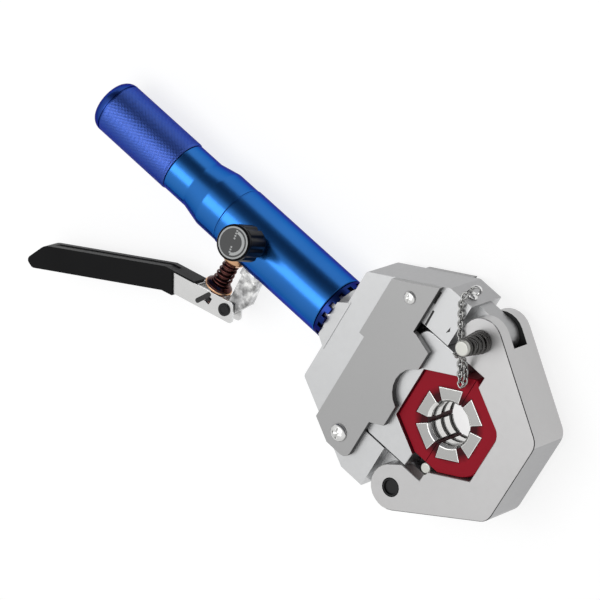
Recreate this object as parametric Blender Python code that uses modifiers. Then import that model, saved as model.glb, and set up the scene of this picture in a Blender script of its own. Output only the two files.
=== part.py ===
"""Hand-held hydraulic hose crimping tool, lying on its back.

Metres, +Z up. The origin is the centre of the flat end of the grip, +X runs along
the tube to the jaws, +Z comes out of the front of the head, and the lever is at -Y.
"""
import math

import bmesh
import bpy
from mathutils import Vector

# General clearances and modelling overruns
GAP = 0.0003                    # between pieces that touch
SPLIT_GAP = 0.0002              # each die holder half stops this far from the split
OVERRUN = 0.004                 # how far a cutter runs past the face that it cuts
MERGE = 0.000005
ROUND_STEPS = 32
SMALL_STEPS = 18

# Grip, neck and cylinder, in order from the end of the grip
GRIP_RADIUS = 0.0215
END_CAP_LENGTH = 0.024
END_CAP_FILLET = 0.009
END_CAP_FILLET_STEPS = 4
GRIP_LENGTH = 0.057
NECK_LENGTH = 0.022
NECK_RADIUS = 0.0208
CONE_LENGTH = 0.017
COLLAR_LENGTH = 0.020
COLLAR_RADIUS = 0.0245
CYLINDER_LENGTH = 0.108
CYLINDER_RADIUS = 0.025
SEAM_WIDTH = 0.0012
SEAM_DEPTH = 0.0007
LOCK_RING_LENGTH = 0.0065
LOCK_RING_RADIUS = 0.0250
LOCK_RING_NOTCHES = 8
LOCK_RING_NOTCH_WIDTH = 0.005
LOCK_RING_NOTCH_DEPTH = 0.0016
BOSS_LENGTH = 0.0075
BOSS_RADIUS = 0.0245

# Threads and spigots between them
CAP_SPIGOT_RADIUS = 0.0185
CAP_SPIGOT_LENGTH = 0.010
NECK_SPIGOT_LENGTH = 0.011
NECK_BORE_RADIUS = 0.015
COLLAR_SPIGOT_RADIUS = 0.0205
COLLAR_SPIGOT_LENGTH = 0.006
HEAD_SPIGOT_RADIUS = 0.0210
HEAD_SPIGOT_LENGTH = 0.012
RESERVOIR_RADIUS = 0.0177

# Oil bladder in the grip
BLADDER_RADIUS = 0.0172
BLADDER_WALL = 0.002
BLADDER_NECK_RADIUS = 0.0125
BLADDER_NECK_LENGTH = 0.010
BLADDER_SHOULDER = 0.0055
CLIP_THICKNESS = 0.0018
CLIP_WIDTH = 0.005
CLIP_SETBACK = 0.002

# Ram: piston, rod and return spring
RAM_BORE_RADIUS = 0.017
RAM_BORE_LENGTH = 0.058
RAM_STROKE = 0.018
RAM_BACK_CLEARANCE = 0.001
PISTON_LENGTH = 0.014
PISTON_CLEARANCE = 0.0003
SEAL_GROOVE_WIDTH = 0.0036
SEAL_GROOVE_DEPTH = 0.0026
ROD_RADIUS = 0.0135
ROD_CLEARANCE = 0.0004
ROD_SPIGOT_RADIUS = 0.008
ROD_SPIGOT_LENGTH = 0.010
RAM_SPRING_TURNS = 5
RAM_SPRING_WIRE = 0.0009
RAM_SPRING_POINTS = 9

# Crimp head frame, measured from its rear face
HEAD_HALF_THICKNESS = 0.0203
FRAME_REAR_HALF_WIDTH = 0.051
FRAME_SLOPE = math.radians(30)
FRAME_SHOULDER = 0.0845
FRAME_CORNER_RADIUS = 0.003
CHANNEL_HALF_WIDTH = 0.0503
FRAME_WALL = 0.0372
POCKET_CLEARANCE = 0.001
PIN_DISTANCE = 0.105
PIN_SETBACK = 0.0160
TONGUE_HALF_THICKNESS = 0.0085
TONGUE_RADIUS = 0.0145
TONGUE_ROOT = 0.012
EDGE_CHAMFER = 0.0008

# Dies, measured from the centre of the bore
DIE_DISTANCE = 0.1165
DIE_APOTHEM = 0.038
DIE_RECESS = 0.0030
DIE_SEAT_CLEARANCE = 0.0003
DIE_POCKET_APOTHEM = 0.0273
DIE_BORE_RADIUS = 0.0165
DIE_BORE_CHAMFER = 0.0022
WEB_TIP_RADIUS = 0.0185
SEGMENT_HALF_WIDTH = 0.0105
SEGMENT_TAPER = 0.307
SEGMENT_GROOVES = 3
SEGMENT_GROOVE_PITCH = 0.0118
SEGMENT_GROOVE_WIDTH = 0.0042
SEGMENT_GROOVE_DEPTH = 0.0024
LOCK_PIN_RADIUS = 0.0042
LOCK_PIN_OFFSET = 0.0026
LOCK_PIN_DROP = 0.0410

# Punch that pushes the rear die half
PUNCH_EDGE_CLEARANCE = 0.0006
PUNCH_SIDE_CLEARANCE = 0.0003
PUNCH_REAR = 0.061
PUNCH_FRONT = 0.1055
PUNCH_CORNER_RADIUS = 0.009

# Hinged yoke
EAR_RADIUS = 0.0177
YOKE_SLOPE = math.radians(35.4)
YOKE_REACH = 0.183
YOKE_CORNER_RADIUS = 0.012
MOUTH_HALF_WIDTH = 0.0505
MOUTH_START_SETBACK = 0.002
MOUTH_STEP = 0.005
EAR_SLOT_CLEARANCE = 0.0004
EAR_SLOT_REACH = 0.020
EAR_ARC_STEPS = 12

# Pins through the ears
HINGE_PIN_RADIUS = 0.0072
LATCH_PIN_RADIUS = 0.0050
PIN_CLEARANCE = 0.0003
LATCH_STANDOFF = 0.0235
LATCH_TIP_HOLD = 0.0105
LATCH_TIP_CHAMFER = 0.0015
LATCH_CAP_RADIUS = 0.0058
LATCH_CAP_THICKNESS = 0.0035
LATCH_CAP_RECESS = 0.0020
LATCH_SPRING_BIG = 0.0078
LATCH_SPRING_SMALL = 0.0062
LATCH_SPRING_WIRE = 0.0009
LATCH_SPRING_TURNS = 5
LATCH_SPRING_POINTS = 10

# Cover plates over the punch, measured from the frame's rear face
COVER_THICKNESS = 0.005
COVER_LEFT = 0.022
COVER_LEFT_STEP = 0.0050
COVER_LEFT_STEP_Y = 0.0115
COVER_UPPER_RIGHT = 0.058
COVER_WIDE_RIGHT = 0.0768
COVER_LOWER_RIGHT = 0.0655
COVER_UPPER_SHELF = 0.0425
COVER_UPPER_SLANT = 0.0375
COVER_LOWER_SLANT = 0.0335
COVER_LOWER_SHELF = 0.0395
COVER_SHELF_STEP = 0.003
COVER_SETBACK = 0.0105
COVER_CORNER_RADIUS = 0.006
COVER_BITE_RADIUS = 0.0203
COVER_BITE_DISTANCE = 0.0859
COVER_BITE_Y = 0.0034

# Cover screws
SCREW_SHANK_RADIUS = 0.0026
SCREW_SHANK_LENGTH = 0.012
LOWER_SCREW_X = 0.0496
LOWER_SCREW_SETBACK = 0.0240
LOWER_SCREW_HEAD_RADIUS = 0.0070
LOWER_SCREW_HEAD_HEIGHT = 0.0036
UPPER_SCREW_X = 0.0419
UPPER_SCREW_SETBACK = 0.0255
UPPER_SCREW_HEAD_RADIUS = 0.0050
UPPER_SCREW_HEAD_HEIGHT = 0.0022
SCREW_HEAD_STEPS = 3

# Pump on the underside of the cylinder
PUMP_DISTANCE = 0.0160
PUMP_BORE_RADIUS = 0.0052
PUMP_CHAMBER_TOP = 0.002
GLAND_THREAD_RADIUS = 0.0085
GLAND_THREAD_LENGTH = 0.009
GLAND_HEAD_RADIUS = 0.0095
GLAND_HEAD_LENGTH = 0.0080
SPOT_FACE_RADIUS = 0.0105
SPOT_FACE_DEPTH = 0.0010
PLUNGER_CLEARANCE = 0.0003
PLUNGER_END = 0.0058
PLUNGER_COLLAR_RADIUS = 0.0042
PLUNGER_FOOT = 0.0011
SEAT_RADIUS = 0.0105
SEAT_THICKNESS = 0.0025
WASHER_RADIUS = 0.0112
WASHER_THICKNESS = 0.0020
PUMP_SPRING_LENGTH = 0.0195
PUMP_SPRING_TOP_RADIUS = 0.0064
PUMP_SPRING_FOOT_RADIUS = 0.0072
PUMP_SPRING_WIRE = 0.0011
PUMP_SPRING_TURNS = 5.5
PUMP_SPRING_POINTS = 10

# Check valves inside the cylinder
VALVE_PASSAGE_RADIUS = 0.003
VALVE_PASSAGE_Y = 0.006
VALVE_PASSAGE_Z = 0.003
VALVE_BALL_RADIUS = 0.0027
VALVE_BALL_SETBACK = 0.0060
VALVE_SPRING_WIRE = 0.0004
VALVE_SPRING_TURNS = 4
VALVE_SPRING_POINTS = 6

# Lever, bracket and fulcrum
FULCRUM_X_OFFSET = 0.0167
FULCRUM_DEPTH = 0.0643
FULCRUM_RADIUS = 0.0040
FULCRUM_HEAD_RADIUS = 0.0050
FULCRUM_HEAD_THICKNESS = 0.0012
LEVER_INNER_HALF_WIDTH = 0.0047
LEVER_SHEET = 0.0018
LEVER_DEPTH = 0.0160
LEVER_SLOPE = math.radians(15)
LEVER_TOP_ABOVE_PIN = 0.0076
LEVER_NOSE = 0.0101
LEVER_NOSE_UPPER = 0.0060
LEVER_NOSE_ROUNDING = 0.0030
LEVER_STEEL_LENGTH = 0.0597
LEVER_WEB_START = 0.0290
BRACKET_HALF_WIDTH = 0.0043
BRACKET_FOOT_HALF_WIDTH = 0.0085
BRACKET_REAR = 0.0035
BRACKET_FRONT = 0.0120
BRACKET_BELLY = 0.0140
BRACKET_FOOT_DEPTH = 0.0060
BRACKET_WAIST = 0.0147
BRACKET_EYE_RADIUS = 0.0060
THRUST_PIN_RADIUS = 0.0022
THRUST_PIN_BELOW = 0.0035
THRUST_SLOT_TRAVEL = 0.0012
THRUST_SLOT_CLEARANCE = 0.0006

# Rubber grip on the lever
RUBBER_SLOPE = math.radians(31.7)
RUBBER_TOP_LENGTH = 0.1152
RUBBER_LENGTH = 0.1331
RUBBER_TIP_DEPTH = 0.0128
RUBBER_LOWER_LENGTH = 0.1270
RUBBER_HEIGHT = 0.0192
RUBBER_HALF_WIDTH = 0.0082
RUBBER_START = 0.0310
RUBBER_SIDE_START = 0.0525
RUBBER_LOWER_START = 0.0471
RUBBER_TOP_THICKNESS = 0.0017
RUBBER_BOTTOM_THICKNESS = 0.0014
RUBBER_TIP_ROUNDING = 0.0035
RUBBER_SHOULDER_ROUNDING = 0.0120
RUBBER_GROOVE_WIDTH = 0.0060
RUBBER_GROOVE_DEPTH = 0.0008
RUBBER_GROOVE_SETBACK = 0.0080
TANG_LENGTH = 0.1080
TANG_HEIGHT = 0.0120

# Release valve and its knob
KNOB_DISTANCE = 0.034
KNOB_TILT = math.radians(14)
KNOB_RADIUS = 0.0140
KNOB_FACE = 0.0590
KNOB_LENGTH = 0.0265
KNOB_FLUTES = 10
KNOB_FLUTE_RADIUS = 0.0034
KNOB_FLUTE_DEPTH = 0.0011
KNOB_EDGE = 0.0012
DIAL_RADIUS = 0.0122
DIAL_THICKNESS = 0.0010
DIAL_RECESS = 0.0006
GLAND_NUT_RADIUS = 0.0100
GLAND_NUT_HEIGHT = 0.0060
SPINDLE_RADIUS = 0.0040
SPINDLE_TIP = 0.0090
SPINDLE_TIP_LENGTH = 0.0030
SPINDLE_HOLD = 0.0120
SPINDLE_BORE_END = 0.0070

# Eye screw and the chain of the latch pin
EYE_X = 0.0760
EYE_Z = 0.0080
EYE_RING_RADIUS = 0.0036
EYE_WIRE_RADIUS = 0.0010
EYE_RING_POINTS = 12
EYE_BASE_RADIUS = 0.0032
EYE_BASE_HEIGHT = 0.0018
EYE_SHANK_RADIUS = 0.0014
EYE_SHANK_LENGTH = 0.007
CHAIN_RADIUS = 0.0019
CHAIN_POINTS = 44

# Colours of the pieces, with roughness and metallic values
BLUE = ("blue anodised aluminium", (0.02, 0.09, 0.42), 0.32, 0.9)
DARK_BLUE = ("dark blue anodised aluminium", (0.01, 0.03, 0.16), 0.4, 0.9)
NICKEL = ("satin nickel plated steel", (0.72, 0.71, 0.70), 0.38, 0.9)
GREY_PLATE = ("grey coated steel plate", (0.42, 0.42, 0.42), 0.5, 0.6)
RED = ("red painted die holder", (0.38, 0.02, 0.05), 0.45, 0.1)
ZINC = ("light zinc die steel", (0.55, 0.56, 0.54), 0.45, 0.8)
BLACK_STEEL = ("blackened steel", (0.02, 0.02, 0.02), 0.4, 0.7)
BRIGHT_STEEL = ("bright steel", (0.70, 0.70, 0.70), 0.25, 1.0)
BRASS = ("brass", (0.60, 0.40, 0.22), 0.35, 1.0)
SPRING_STEEL = ("brown spring steel", (0.10, 0.05, 0.04), 0.4, 0.8)
RUBBER = ("black rubber", (0.02, 0.02, 0.02), 0.7, 0.0)
BLACK_PLASTIC = ("black plastic", (0.02, 0.02, 0.02), 0.45, 0.0)
DIAL_GREY = ("dark grey dial", (0.08, 0.08, 0.08), 0.5, 0.0)

# Places along X, from the end of the grip
CAP_END = END_CAP_LENGTH
GRIP_END = CAP_END + GRIP_LENGTH
NECK_END = GRIP_END + NECK_LENGTH
CONE_END = NECK_END + CONE_LENGTH
COLLAR_END = CONE_END + COLLAR_LENGTH
CYLINDER_END = COLLAR_END + CYLINDER_LENGTH
RING_END = CYLINDER_END + LOCK_RING_LENGTH
FRAME_X = RING_END + BOSS_LENGTH
DIE_X = FRAME_X + DIE_DISTANCE
PIN_X = FRAME_X + PIN_DISTANCE
YOKE_FRONT_X = FRAME_X + YOKE_REACH
SHOULDER_X = FRAME_X + FRAME_SHOULDER
PUNCH_REAR_X = FRAME_X + PUNCH_REAR
PUNCH_FRONT_X = FRAME_X + PUNCH_FRONT
POCKET_X = PUNCH_REAR_X - RAM_STROKE - POCKET_CLEARANCE
FRAME_HALF_WIDTH = CHANNEL_HALF_WIDTH + FRAME_WALL
PIN_HALF_SPREAD = FRAME_HALF_WIDTH - PIN_SETBACK
PUNCH_HALF_WIDTH = CHANNEL_HALF_WIDTH - PUNCH_EDGE_CLEARANCE
COVER_BOTTOM = FRAME_HALF_WIDTH - COVER_SETBACK
LOWER_SCREW_Y = FRAME_HALF_WIDTH - LOWER_SCREW_SETBACK
UPPER_SCREW_Y = FRAME_HALF_WIDTH - UPPER_SCREW_SETBACK
BORE_BOTTOM_X = CYLINDER_END - RAM_BORE_LENGTH
PISTON_X = BORE_BOTTOM_X + RAM_BACK_CLEARANCE + RAM_STROKE
HEAD_SPIGOT_X = CYLINDER_END - HEAD_SPIGOT_LENGTH
PUMP_X = COLLAR_END + PUMP_DISTANCE
FULCRUM_X = PUMP_X + FULCRUM_X_OFFSET
THRUST_DEPTH = FULCRUM_DEPTH + THRUST_PIN_BELOW
KNOB_X = COLLAR_END + KNOB_DISTANCE
KNOB_AXIS = Vector((0, math.sin(KNOB_TILT), math.cos(KNOB_TILT)))
FRONT_FACE = HEAD_HALF_THICKNESS
PUNCH_HALF_THICKNESS = HEAD_HALF_THICKNESS - PUNCH_SIDE_CLEARANCE
DIE_HALF_THICKNESS = HEAD_HALF_THICKNESS - DIE_RECESS
EAR_SLOT_HALF_WIDTH = TONGUE_HALF_THICKNESS + EAR_SLOT_CLEARANCE
DIE_CORNER_CUT = LOCK_PIN_DROP - LOCK_PIN_RADIUS - GAP
COVER_FACE = HEAD_HALF_THICKNESS + GAP + COVER_THICKNESS
X_AXIS = Vector((1, 0, 0))
Y_AXIS = Vector((0, 1, 0))
Z_AXIS = Vector((0, 0, 1))

for old in list(bpy.data.objects):
    bpy.data.objects.remove(old, do_unlink=True)

parts = bpy.data.collections.new("hose_crimping_tool")
cutters = bpy.data.collections.new("cutters")
bpy.context.scene.collection.children.link(parts)
bpy.context.scene.collection.children.link(cutters)


# Helpers for materials, meshes and modifiers

def finish(colour):
    """The Principled material of one finish, made once."""
    name, base, roughness, metallic = colour
    found = bpy.data.materials.get(name)
    if found:
        return found
    made = bpy.data.materials.new(name)
    made.use_nodes = True
    shader = made.node_tree.nodes["Principled BSDF"]
    shader.inputs["Base Color"].default_value = (*base, 1)
    shader.inputs["Roughness"].default_value = roughness
    shader.inputs["Metallic"].default_value = metallic
    made.diffuse_color = (*base, 1)
    return made


def place(name, mesh, colour, origin=(0, 0, 0), axis=Z_AXIS):
    """An object with its local Z along axis, among the parts or, without a colour, the cutters."""
    item = bpy.data.objects.new(name, mesh)
    item.location = origin
    item.rotation_mode = "QUATERNION"
    item.rotation_quaternion = Z_AXIS.rotation_difference(Vector(axis))
    if colour:
        mesh.materials.append(finish(colour))
        parts.objects.link(item)
    else:
        cutters.objects.link(item)
        item.hide_render = True
        item.display_type = "WIRE"
    return item


def turned(name, profile, colour, origin=(0, 0, 0), axis=Z_AXIS, steps=ROUND_STEPS, ring=False):
    """A turned piece: (radius, height) points up its outer side, and down the inner side of a ring."""
    mesh = bpy.data.meshes.new(name)
    points = [(radius, 0, height) for radius, height in reversed(profile)]
    edges = [(index, index + 1) for index in range(len(points) - 1)]
    if ring:
        edges.append((len(points) - 1, 0))
    mesh.from_pydata(points, edges, [])
    item = place(name, mesh, colour, origin, axis)
    screw = item.modifiers.new("turn", "SCREW")
    screw.axis = "Z"
    screw.angle = math.tau
    screw.steps = steps
    screw.render_steps = steps
    screw.use_merge_vertices = True
    screw.merge_threshold = MERGE
    return item


def rod(name, radius, low, high, colour, origin=(0, 0, 0), axis=Z_AXIS, steps=SMALL_STEPS):
    """A plain cylinder between two heights on its axis."""
    shape = bmesh.new()
    bmesh.ops.create_cone(shape, cap_ends=True, segments=steps, radius1=radius, radius2=radius,
                          depth=high - low)
    bmesh.ops.translate(shape, verts=shape.verts, vec=(0, 0, (high + low) / 2))
    mesh = bpy.data.meshes.new(name)
    shape.to_mesh(mesh)
    shape.free()
    return place(name, mesh, colour, origin, axis)


def block(name, low, high, colour=None):
    """A box between two corners."""
    shape = bmesh.new()
    bmesh.ops.create_cube(shape, size=1)
    for vert in shape.verts:
        for index in range(3):
            vert.co[index] = low[index] if vert.co[index] < 0 else high[index]
    mesh = bpy.data.meshes.new(name)
    shape.to_mesh(mesh)
    shape.free()
    return place(name, mesh, colour)


def sphere(name, radius, centre, colour):
    """A small ball."""
    shape = bmesh.new()
    bmesh.ops.create_uvsphere(shape, u_segments=12, v_segments=8, radius=radius)
    mesh = bpy.data.meshes.new(name)
    shape.to_mesh(mesh)
    shape.free()
    return place(name, mesh, colour, centre)


def curve_mesh(curve, name, colour, origin=(0, 0, 0), axis=Z_AXIS):
    """The welded mesh of a curve, as an object of its own."""
    guide = bpy.data.objects.new(name + "_curve", curve)
    cutters.objects.link(guide)
    bpy.context.view_layer.update()
    graph = bpy.context.evaluated_depsgraph_get()
    mesh = bpy.data.meshes.new_from_object(guide.evaluated_get(graph))
    bpy.data.objects.remove(guide, do_unlink=True)
    shape = bmesh.new()
    shape.from_mesh(mesh)
    bmesh.ops.remove_doubles(shape, verts=shape.verts, dist=MERGE)
    bmesh.ops.recalc_face_normals(shape, faces=shape.faces)
    shape.to_mesh(mesh)
    shape.free()
    mesh.materials.clear()
    mesh.name = name
    return place(name, mesh, colour, origin, axis)


def plate(name, outline, low, high, colour=None, origin=(0, 0, 0), axis=Z_AXIS):
    """A flat outline with a thickness, from height low to high."""
    curve = bpy.data.curves.new(name, "CURVE")
    curve.dimensions = "2D"
    curve.fill_mode = "BOTH"
    curve.extrude = (high - low) / 2
    spline = curve.splines.new("POLY")
    spline.points.add(len(outline) - 1)
    for point, corner in zip(spline.points, outline):
        point.co = (corner[0], corner[1], 0, 1)
    spline.use_cyclic_u = True
    item = curve_mesh(curve, name, colour, origin, axis)
    middle = (high + low) / 2
    for vert in item.data.vertices:
        vert.co.z += middle
    return item


def wire(name, points, radius, colour, cyclic=False, resolution=2):
    """A wire along points, with closed ends."""
    curve = bpy.data.curves.new(name, "CURVE")
    curve.dimensions = "3D"
    curve.bevel_depth = radius
    curve.bevel_resolution = resolution
    curve.use_fill_caps = not cyclic
    spline = curve.splines.new("POLY")
    spline.points.add(len(points) - 1)
    for point, place_at in zip(spline.points, points):
        point.co = (*place_at, 1)
    spline.use_cyclic_u = cyclic
    return curve_mesh(curve, name, colour)


def coil(name, origin, axis, length, radius_start, radius_end, wire_radius, turns, points, colour):
    """A spring with a flat-lying first and last half turn."""
    turn = Z_AXIS.rotation_difference(Vector(axis))
    count = int(turns * points)
    route = []
    for index in range(count + 1):
        share = index / count
        angle = share * turns * math.tau
        eased = min(max((share * turns - 0.5) / (turns - 1), 0), 1)
        radius = radius_start + (radius_end - radius_start) * eased
        height = wire_radius + (length - 2 * wire_radius) * eased
        local = Vector((radius * math.cos(angle), radius * math.sin(angle), height))
        route.append(Vector(origin) + turn @ local)
    return wire(name, route, wire_radius, colour)


def change(target, tool, operation):
    """One exact Boolean on target."""
    step = target.modifiers.new(operation.lower() + "_" + tool.name, "BOOLEAN")
    step.operation = operation
    step.solver = "EXACT"
    step.object = tool


def cut(target, tool):
    change(target, tool, "DIFFERENCE")


def join(target, tool):
    change(target, tool, "UNION")


def chamfer(target, width, segments=1, angle=math.radians(50)):
    """Bevelled edges, on the sharp ones only."""
    bevel = target.modifiers.new("edges", "BEVEL")
    bevel.width = width
    bevel.segments = segments
    bevel.limit_method = "ANGLE"
    bevel.angle_limit = angle


def arc(centre, radius, start, end, steps):
    """Points on an arc, in degrees."""
    return [(centre[0] + radius * math.cos(math.radians(start + (end - start) * index / steps)),
             centre[1] + radius * math.sin(math.radians(start + (end - start) * index / steps)))
            for index in range(steps + 1)]


def rounded(corners, steps=3):
    """An outline whose corners, given as (x, y, radius), are rounded where they have a radius."""
    outline = []
    count = len(corners)
    for index, (x, y, radius) in enumerate(corners):
        here = Vector((x, y))
        if radius == 0:
            outline.append((x, y))
            continue
        before = (Vector(corners[index - 1][:2]) - here).normalized()
        after = (Vector(corners[(index + 1) % count][:2]) - here).normalized()
        half = before.angle(after) / 2
        centre = here + (before + after).normalized() * radius / math.sin(half)
        first = here + before * radius / math.tan(half) - centre
        last = here + after * radius / math.tan(half) - centre
        sweep = first.angle_signed(last)
        start = math.atan2(first.y, first.x)
        for step in range(steps + 1):
            angle = start - sweep * step / steps
            outline.append((centre.x + radius * math.cos(angle), centre.y + radius * math.sin(angle)))
    return outline


def mirrored(points):
    """An outline followed by its mirror image below the X axis."""
    return list(points) + [(x, -y) for x, y in reversed(points)]


def moved(points, x, y=0):
    return [(px + x, py + y) for px, py in points]


def grown(points, by):
    """The outline with every side moved outward by the same distance."""
    corners = [Vector(point) for point in points]
    area = sum(a.x * b.y - b.x * a.y for a, b in zip(corners, corners[1:] + corners[:1]))
    out = by if area > 0 else -by
    result = []
    for index, corner in enumerate(corners):
        before = (corner - corners[index - 1]).normalized()
        after = (corners[(index + 1) % len(corners)] - corner).normalized()
        normal = Vector((before.y + after.y, -before.x - after.x)).normalized()
        result.append(tuple(corner + normal * out / normal.dot(Vector((before.y, -before.x)))))
    return result


def hexagon(apothem):
    """A hexagon with corners at +Y and -Y."""
    corner = apothem / math.cos(math.radians(30))
    return [(corner * math.cos(math.radians(30 + 60 * side)), corner * math.sin(math.radians(30 + 60 * side)))
            for side in range(6)]


# Grip end, reservoir and neck

def make_end_cap():
    fillet = [(GRIP_RADIUS - END_CAP_FILLET * (1 - math.sin(math.radians(90 * step / END_CAP_FILLET_STEPS))),
               END_CAP_FILLET * (1 - math.cos(math.radians(90 * step / END_CAP_FILLET_STEPS))))
              for step in range(END_CAP_FILLET_STEPS + 1)]
    profile = [(0, 0)] + fillet + [
        (GRIP_RADIUS, CAP_END), (CAP_SPIGOT_RADIUS, CAP_END),
        (CAP_SPIGOT_RADIUS, CAP_END + CAP_SPIGOT_LENGTH), (0, CAP_END + CAP_SPIGOT_LENGTH)]
    turned("end_cap", profile, BLUE, axis=X_AXIS)


def make_grip_sleeve():
    start = CAP_END + GAP
    step_end = CAP_END + CAP_SPIGOT_LENGTH + GAP
    neck_step = GRIP_END - NECK_SPIGOT_LENGTH - GAP
    socket = CAP_SPIGOT_RADIUS + GAP
    profile = [(GRIP_RADIUS, start), (GRIP_RADIUS, GRIP_END - SEAM_WIDTH),
               (GRIP_RADIUS - SEAM_DEPTH, GRIP_END - SEAM_WIDTH), (GRIP_RADIUS - SEAM_DEPTH, GRIP_END),
               (socket, GRIP_END), (socket, neck_step), (RESERVOIR_RADIUS, neck_step),
               (RESERVOIR_RADIUS, step_end), (socket, step_end), (socket, start)]
    turned("grip_sleeve", profile, BLUE, axis=X_AXIS, ring=True)


def make_neck_coupling():
    start = GRIP_END + GAP
    profile = [(CAP_SPIGOT_RADIUS, GRIP_END - NECK_SPIGOT_LENGTH), (CAP_SPIGOT_RADIUS, start),
               (NECK_RADIUS, start), (NECK_RADIUS, NECK_END), (COLLAR_RADIUS, CONE_END),
               (COLLAR_RADIUS, COLLAR_END), (COLLAR_SPIGOT_RADIUS, COLLAR_END),
               (COLLAR_SPIGOT_RADIUS, COLLAR_END + COLLAR_SPIGOT_LENGTH),
               (NECK_BORE_RADIUS, COLLAR_END + COLLAR_SPIGOT_LENGTH),
               (NECK_BORE_RADIUS, GRIP_END - NECK_SPIGOT_LENGTH)]
    turned("neck_coupling", profile, BLUE, axis=X_AXIS, ring=True)


def make_bladder():
    start = CAP_END + CAP_SPIGOT_LENGTH + GAP
    shoulder = GRIP_END - NECK_SPIGOT_LENGTH - GAP
    end = shoulder + BLADDER_NECK_LENGTH + GAP
    wall = BLADDER_WALL
    lead = BLADDER_RADIUS - BLADDER_SHOULDER
    profile = [(0, start), (lead, start), (BLADDER_RADIUS, start + BLADDER_SHOULDER),
               (BLADDER_RADIUS, shoulder - BLADDER_SHOULDER), (BLADDER_NECK_RADIUS, shoulder),
               (BLADDER_NECK_RADIUS, end), (BLADDER_NECK_RADIUS - wall, end),
               (BLADDER_NECK_RADIUS - wall, shoulder - wall / 2),
               (BLADDER_RADIUS - wall, shoulder - BLADDER_SHOULDER - wall / 2),
               (BLADDER_RADIUS - wall, start + BLADDER_SHOULDER + wall / 2),
               (lead - wall / 2, start + wall), (0, start + wall)]
    turned("oil_bladder", profile, RUBBER, axis=X_AXIS, steps=SMALL_STEPS)
    inner = BLADDER_NECK_RADIUS + GAP
    clip_end = end - CLIP_SETBACK
    clip = [(inner + CLIP_THICKNESS, clip_end - CLIP_WIDTH), (inner + CLIP_THICKNESS, clip_end),
            (inner, clip_end), (inner, clip_end - CLIP_WIDTH)]
    turned("bladder_clip", clip, BRIGHT_STEEL, axis=X_AXIS, steps=SMALL_STEPS, ring=True)


# Cylinder with its bores

def make_cylinder():
    start = COLLAR_END + GAP
    socket = COLLAR_SPIGOT_RADIUS + GAP
    floor = COLLAR_END + COLLAR_SPIGOT_LENGTH + GAP
    front = HEAD_SPIGOT_RADIUS + GAP
    profile = [(0, floor), (socket, floor), (socket, start),
               (CYLINDER_RADIUS - SEAM_DEPTH, start), (CYLINDER_RADIUS - SEAM_DEPTH, start + SEAM_WIDTH),
               (CYLINDER_RADIUS, start + SEAM_WIDTH), (CYLINDER_RADIUS, CYLINDER_END - GAP),
               (front, CYLINDER_END - GAP), (front, HEAD_SPIGOT_X - GAP),
               (RAM_BORE_RADIUS, HEAD_SPIGOT_X - GAP), (RAM_BORE_RADIUS, BORE_BOTTOM_X),
               (0, BORE_BOTTOM_X)]
    body = turned("cylinder_body", profile, BLUE, axis=X_AXIS)
    down = -Y_AXIS
    pump = (PUMP_X, 0, 0)
    face = CYLINDER_RADIUS - SPOT_FACE_DEPTH
    cut(body, rod("pump_spot_face", SPOT_FACE_RADIUS, face, CYLINDER_RADIUS + OVERRUN, None, pump, down))
    cut(body, rod("gland_thread_bore", GLAND_THREAD_RADIUS + GAP, face - GLAND_THREAD_LENGTH - GAP,
                  CYLINDER_RADIUS + OVERRUN, None, pump, down))
    cut(body, rod("pump_chamber_bore", PUMP_BORE_RADIUS, -PUMP_CHAMBER_TOP, CYLINDER_RADIUS, None, pump, down))
    passage = (0, -VALVE_PASSAGE_Y, -VALVE_PASSAGE_Z)
    cut(body, rod("oil_passage", VALVE_PASSAGE_RADIUS, floor - OVERRUN, BORE_BOTTOM_X + OVERRUN,
                  None, passage, X_AXIS))
    valve = (KNOB_X, 0, 0)
    cut(body, rod("release_bore", SPINDLE_RADIUS + GAP, SPINDLE_BORE_END, CYLINDER_RADIUS + OVERRUN,
                  None, valve, KNOB_AXIS))
    cut(body, rod("release_spot_face", GLAND_NUT_RADIUS + GAP, face, CYLINDER_RADIUS + OVERRUN,
                  None, valve, KNOB_AXIS))
    bracket_face = block("bracket_seat_cutter",
                         (FULCRUM_X - BRACKET_REAR - GAP, -CYLINDER_RADIUS - OVERRUN, -BRACKET_FOOT_HALF_WIDTH - GAP),
                         (FULCRUM_X + BRACKET_FRONT + GAP, -face, BRACKET_FOOT_HALF_WIDTH + GAP))
    cut(body, bracket_face)


def make_lock_ring():
    inner = HEAD_SPIGOT_RADIUS + GAP
    profile = [(LOCK_RING_RADIUS, CYLINDER_END), (LOCK_RING_RADIUS, RING_END),
               (inner, RING_END), (inner, CYLINDER_END)]
    ring = turned("lock_ring", profile, DARK_BLUE, axis=X_AXIS, ring=True)
    for index in range(LOCK_RING_NOTCHES):
        angle = math.tau * (index + 0.5) / LOCK_RING_NOTCHES
        outward = Vector((0, math.cos(angle), math.sin(angle)))
        notch = rod(f"lock_ring_notch_{index}", LOCK_RING_NOTCH_WIDTH / 2, LOCK_RING_RADIUS - LOCK_RING_NOTCH_DEPTH,
                    LOCK_RING_RADIUS + OVERRUN, None, ((CYLINDER_END + RING_END) / 2, 0, 0), outward, steps=8)
        cut(ring, notch)


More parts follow.
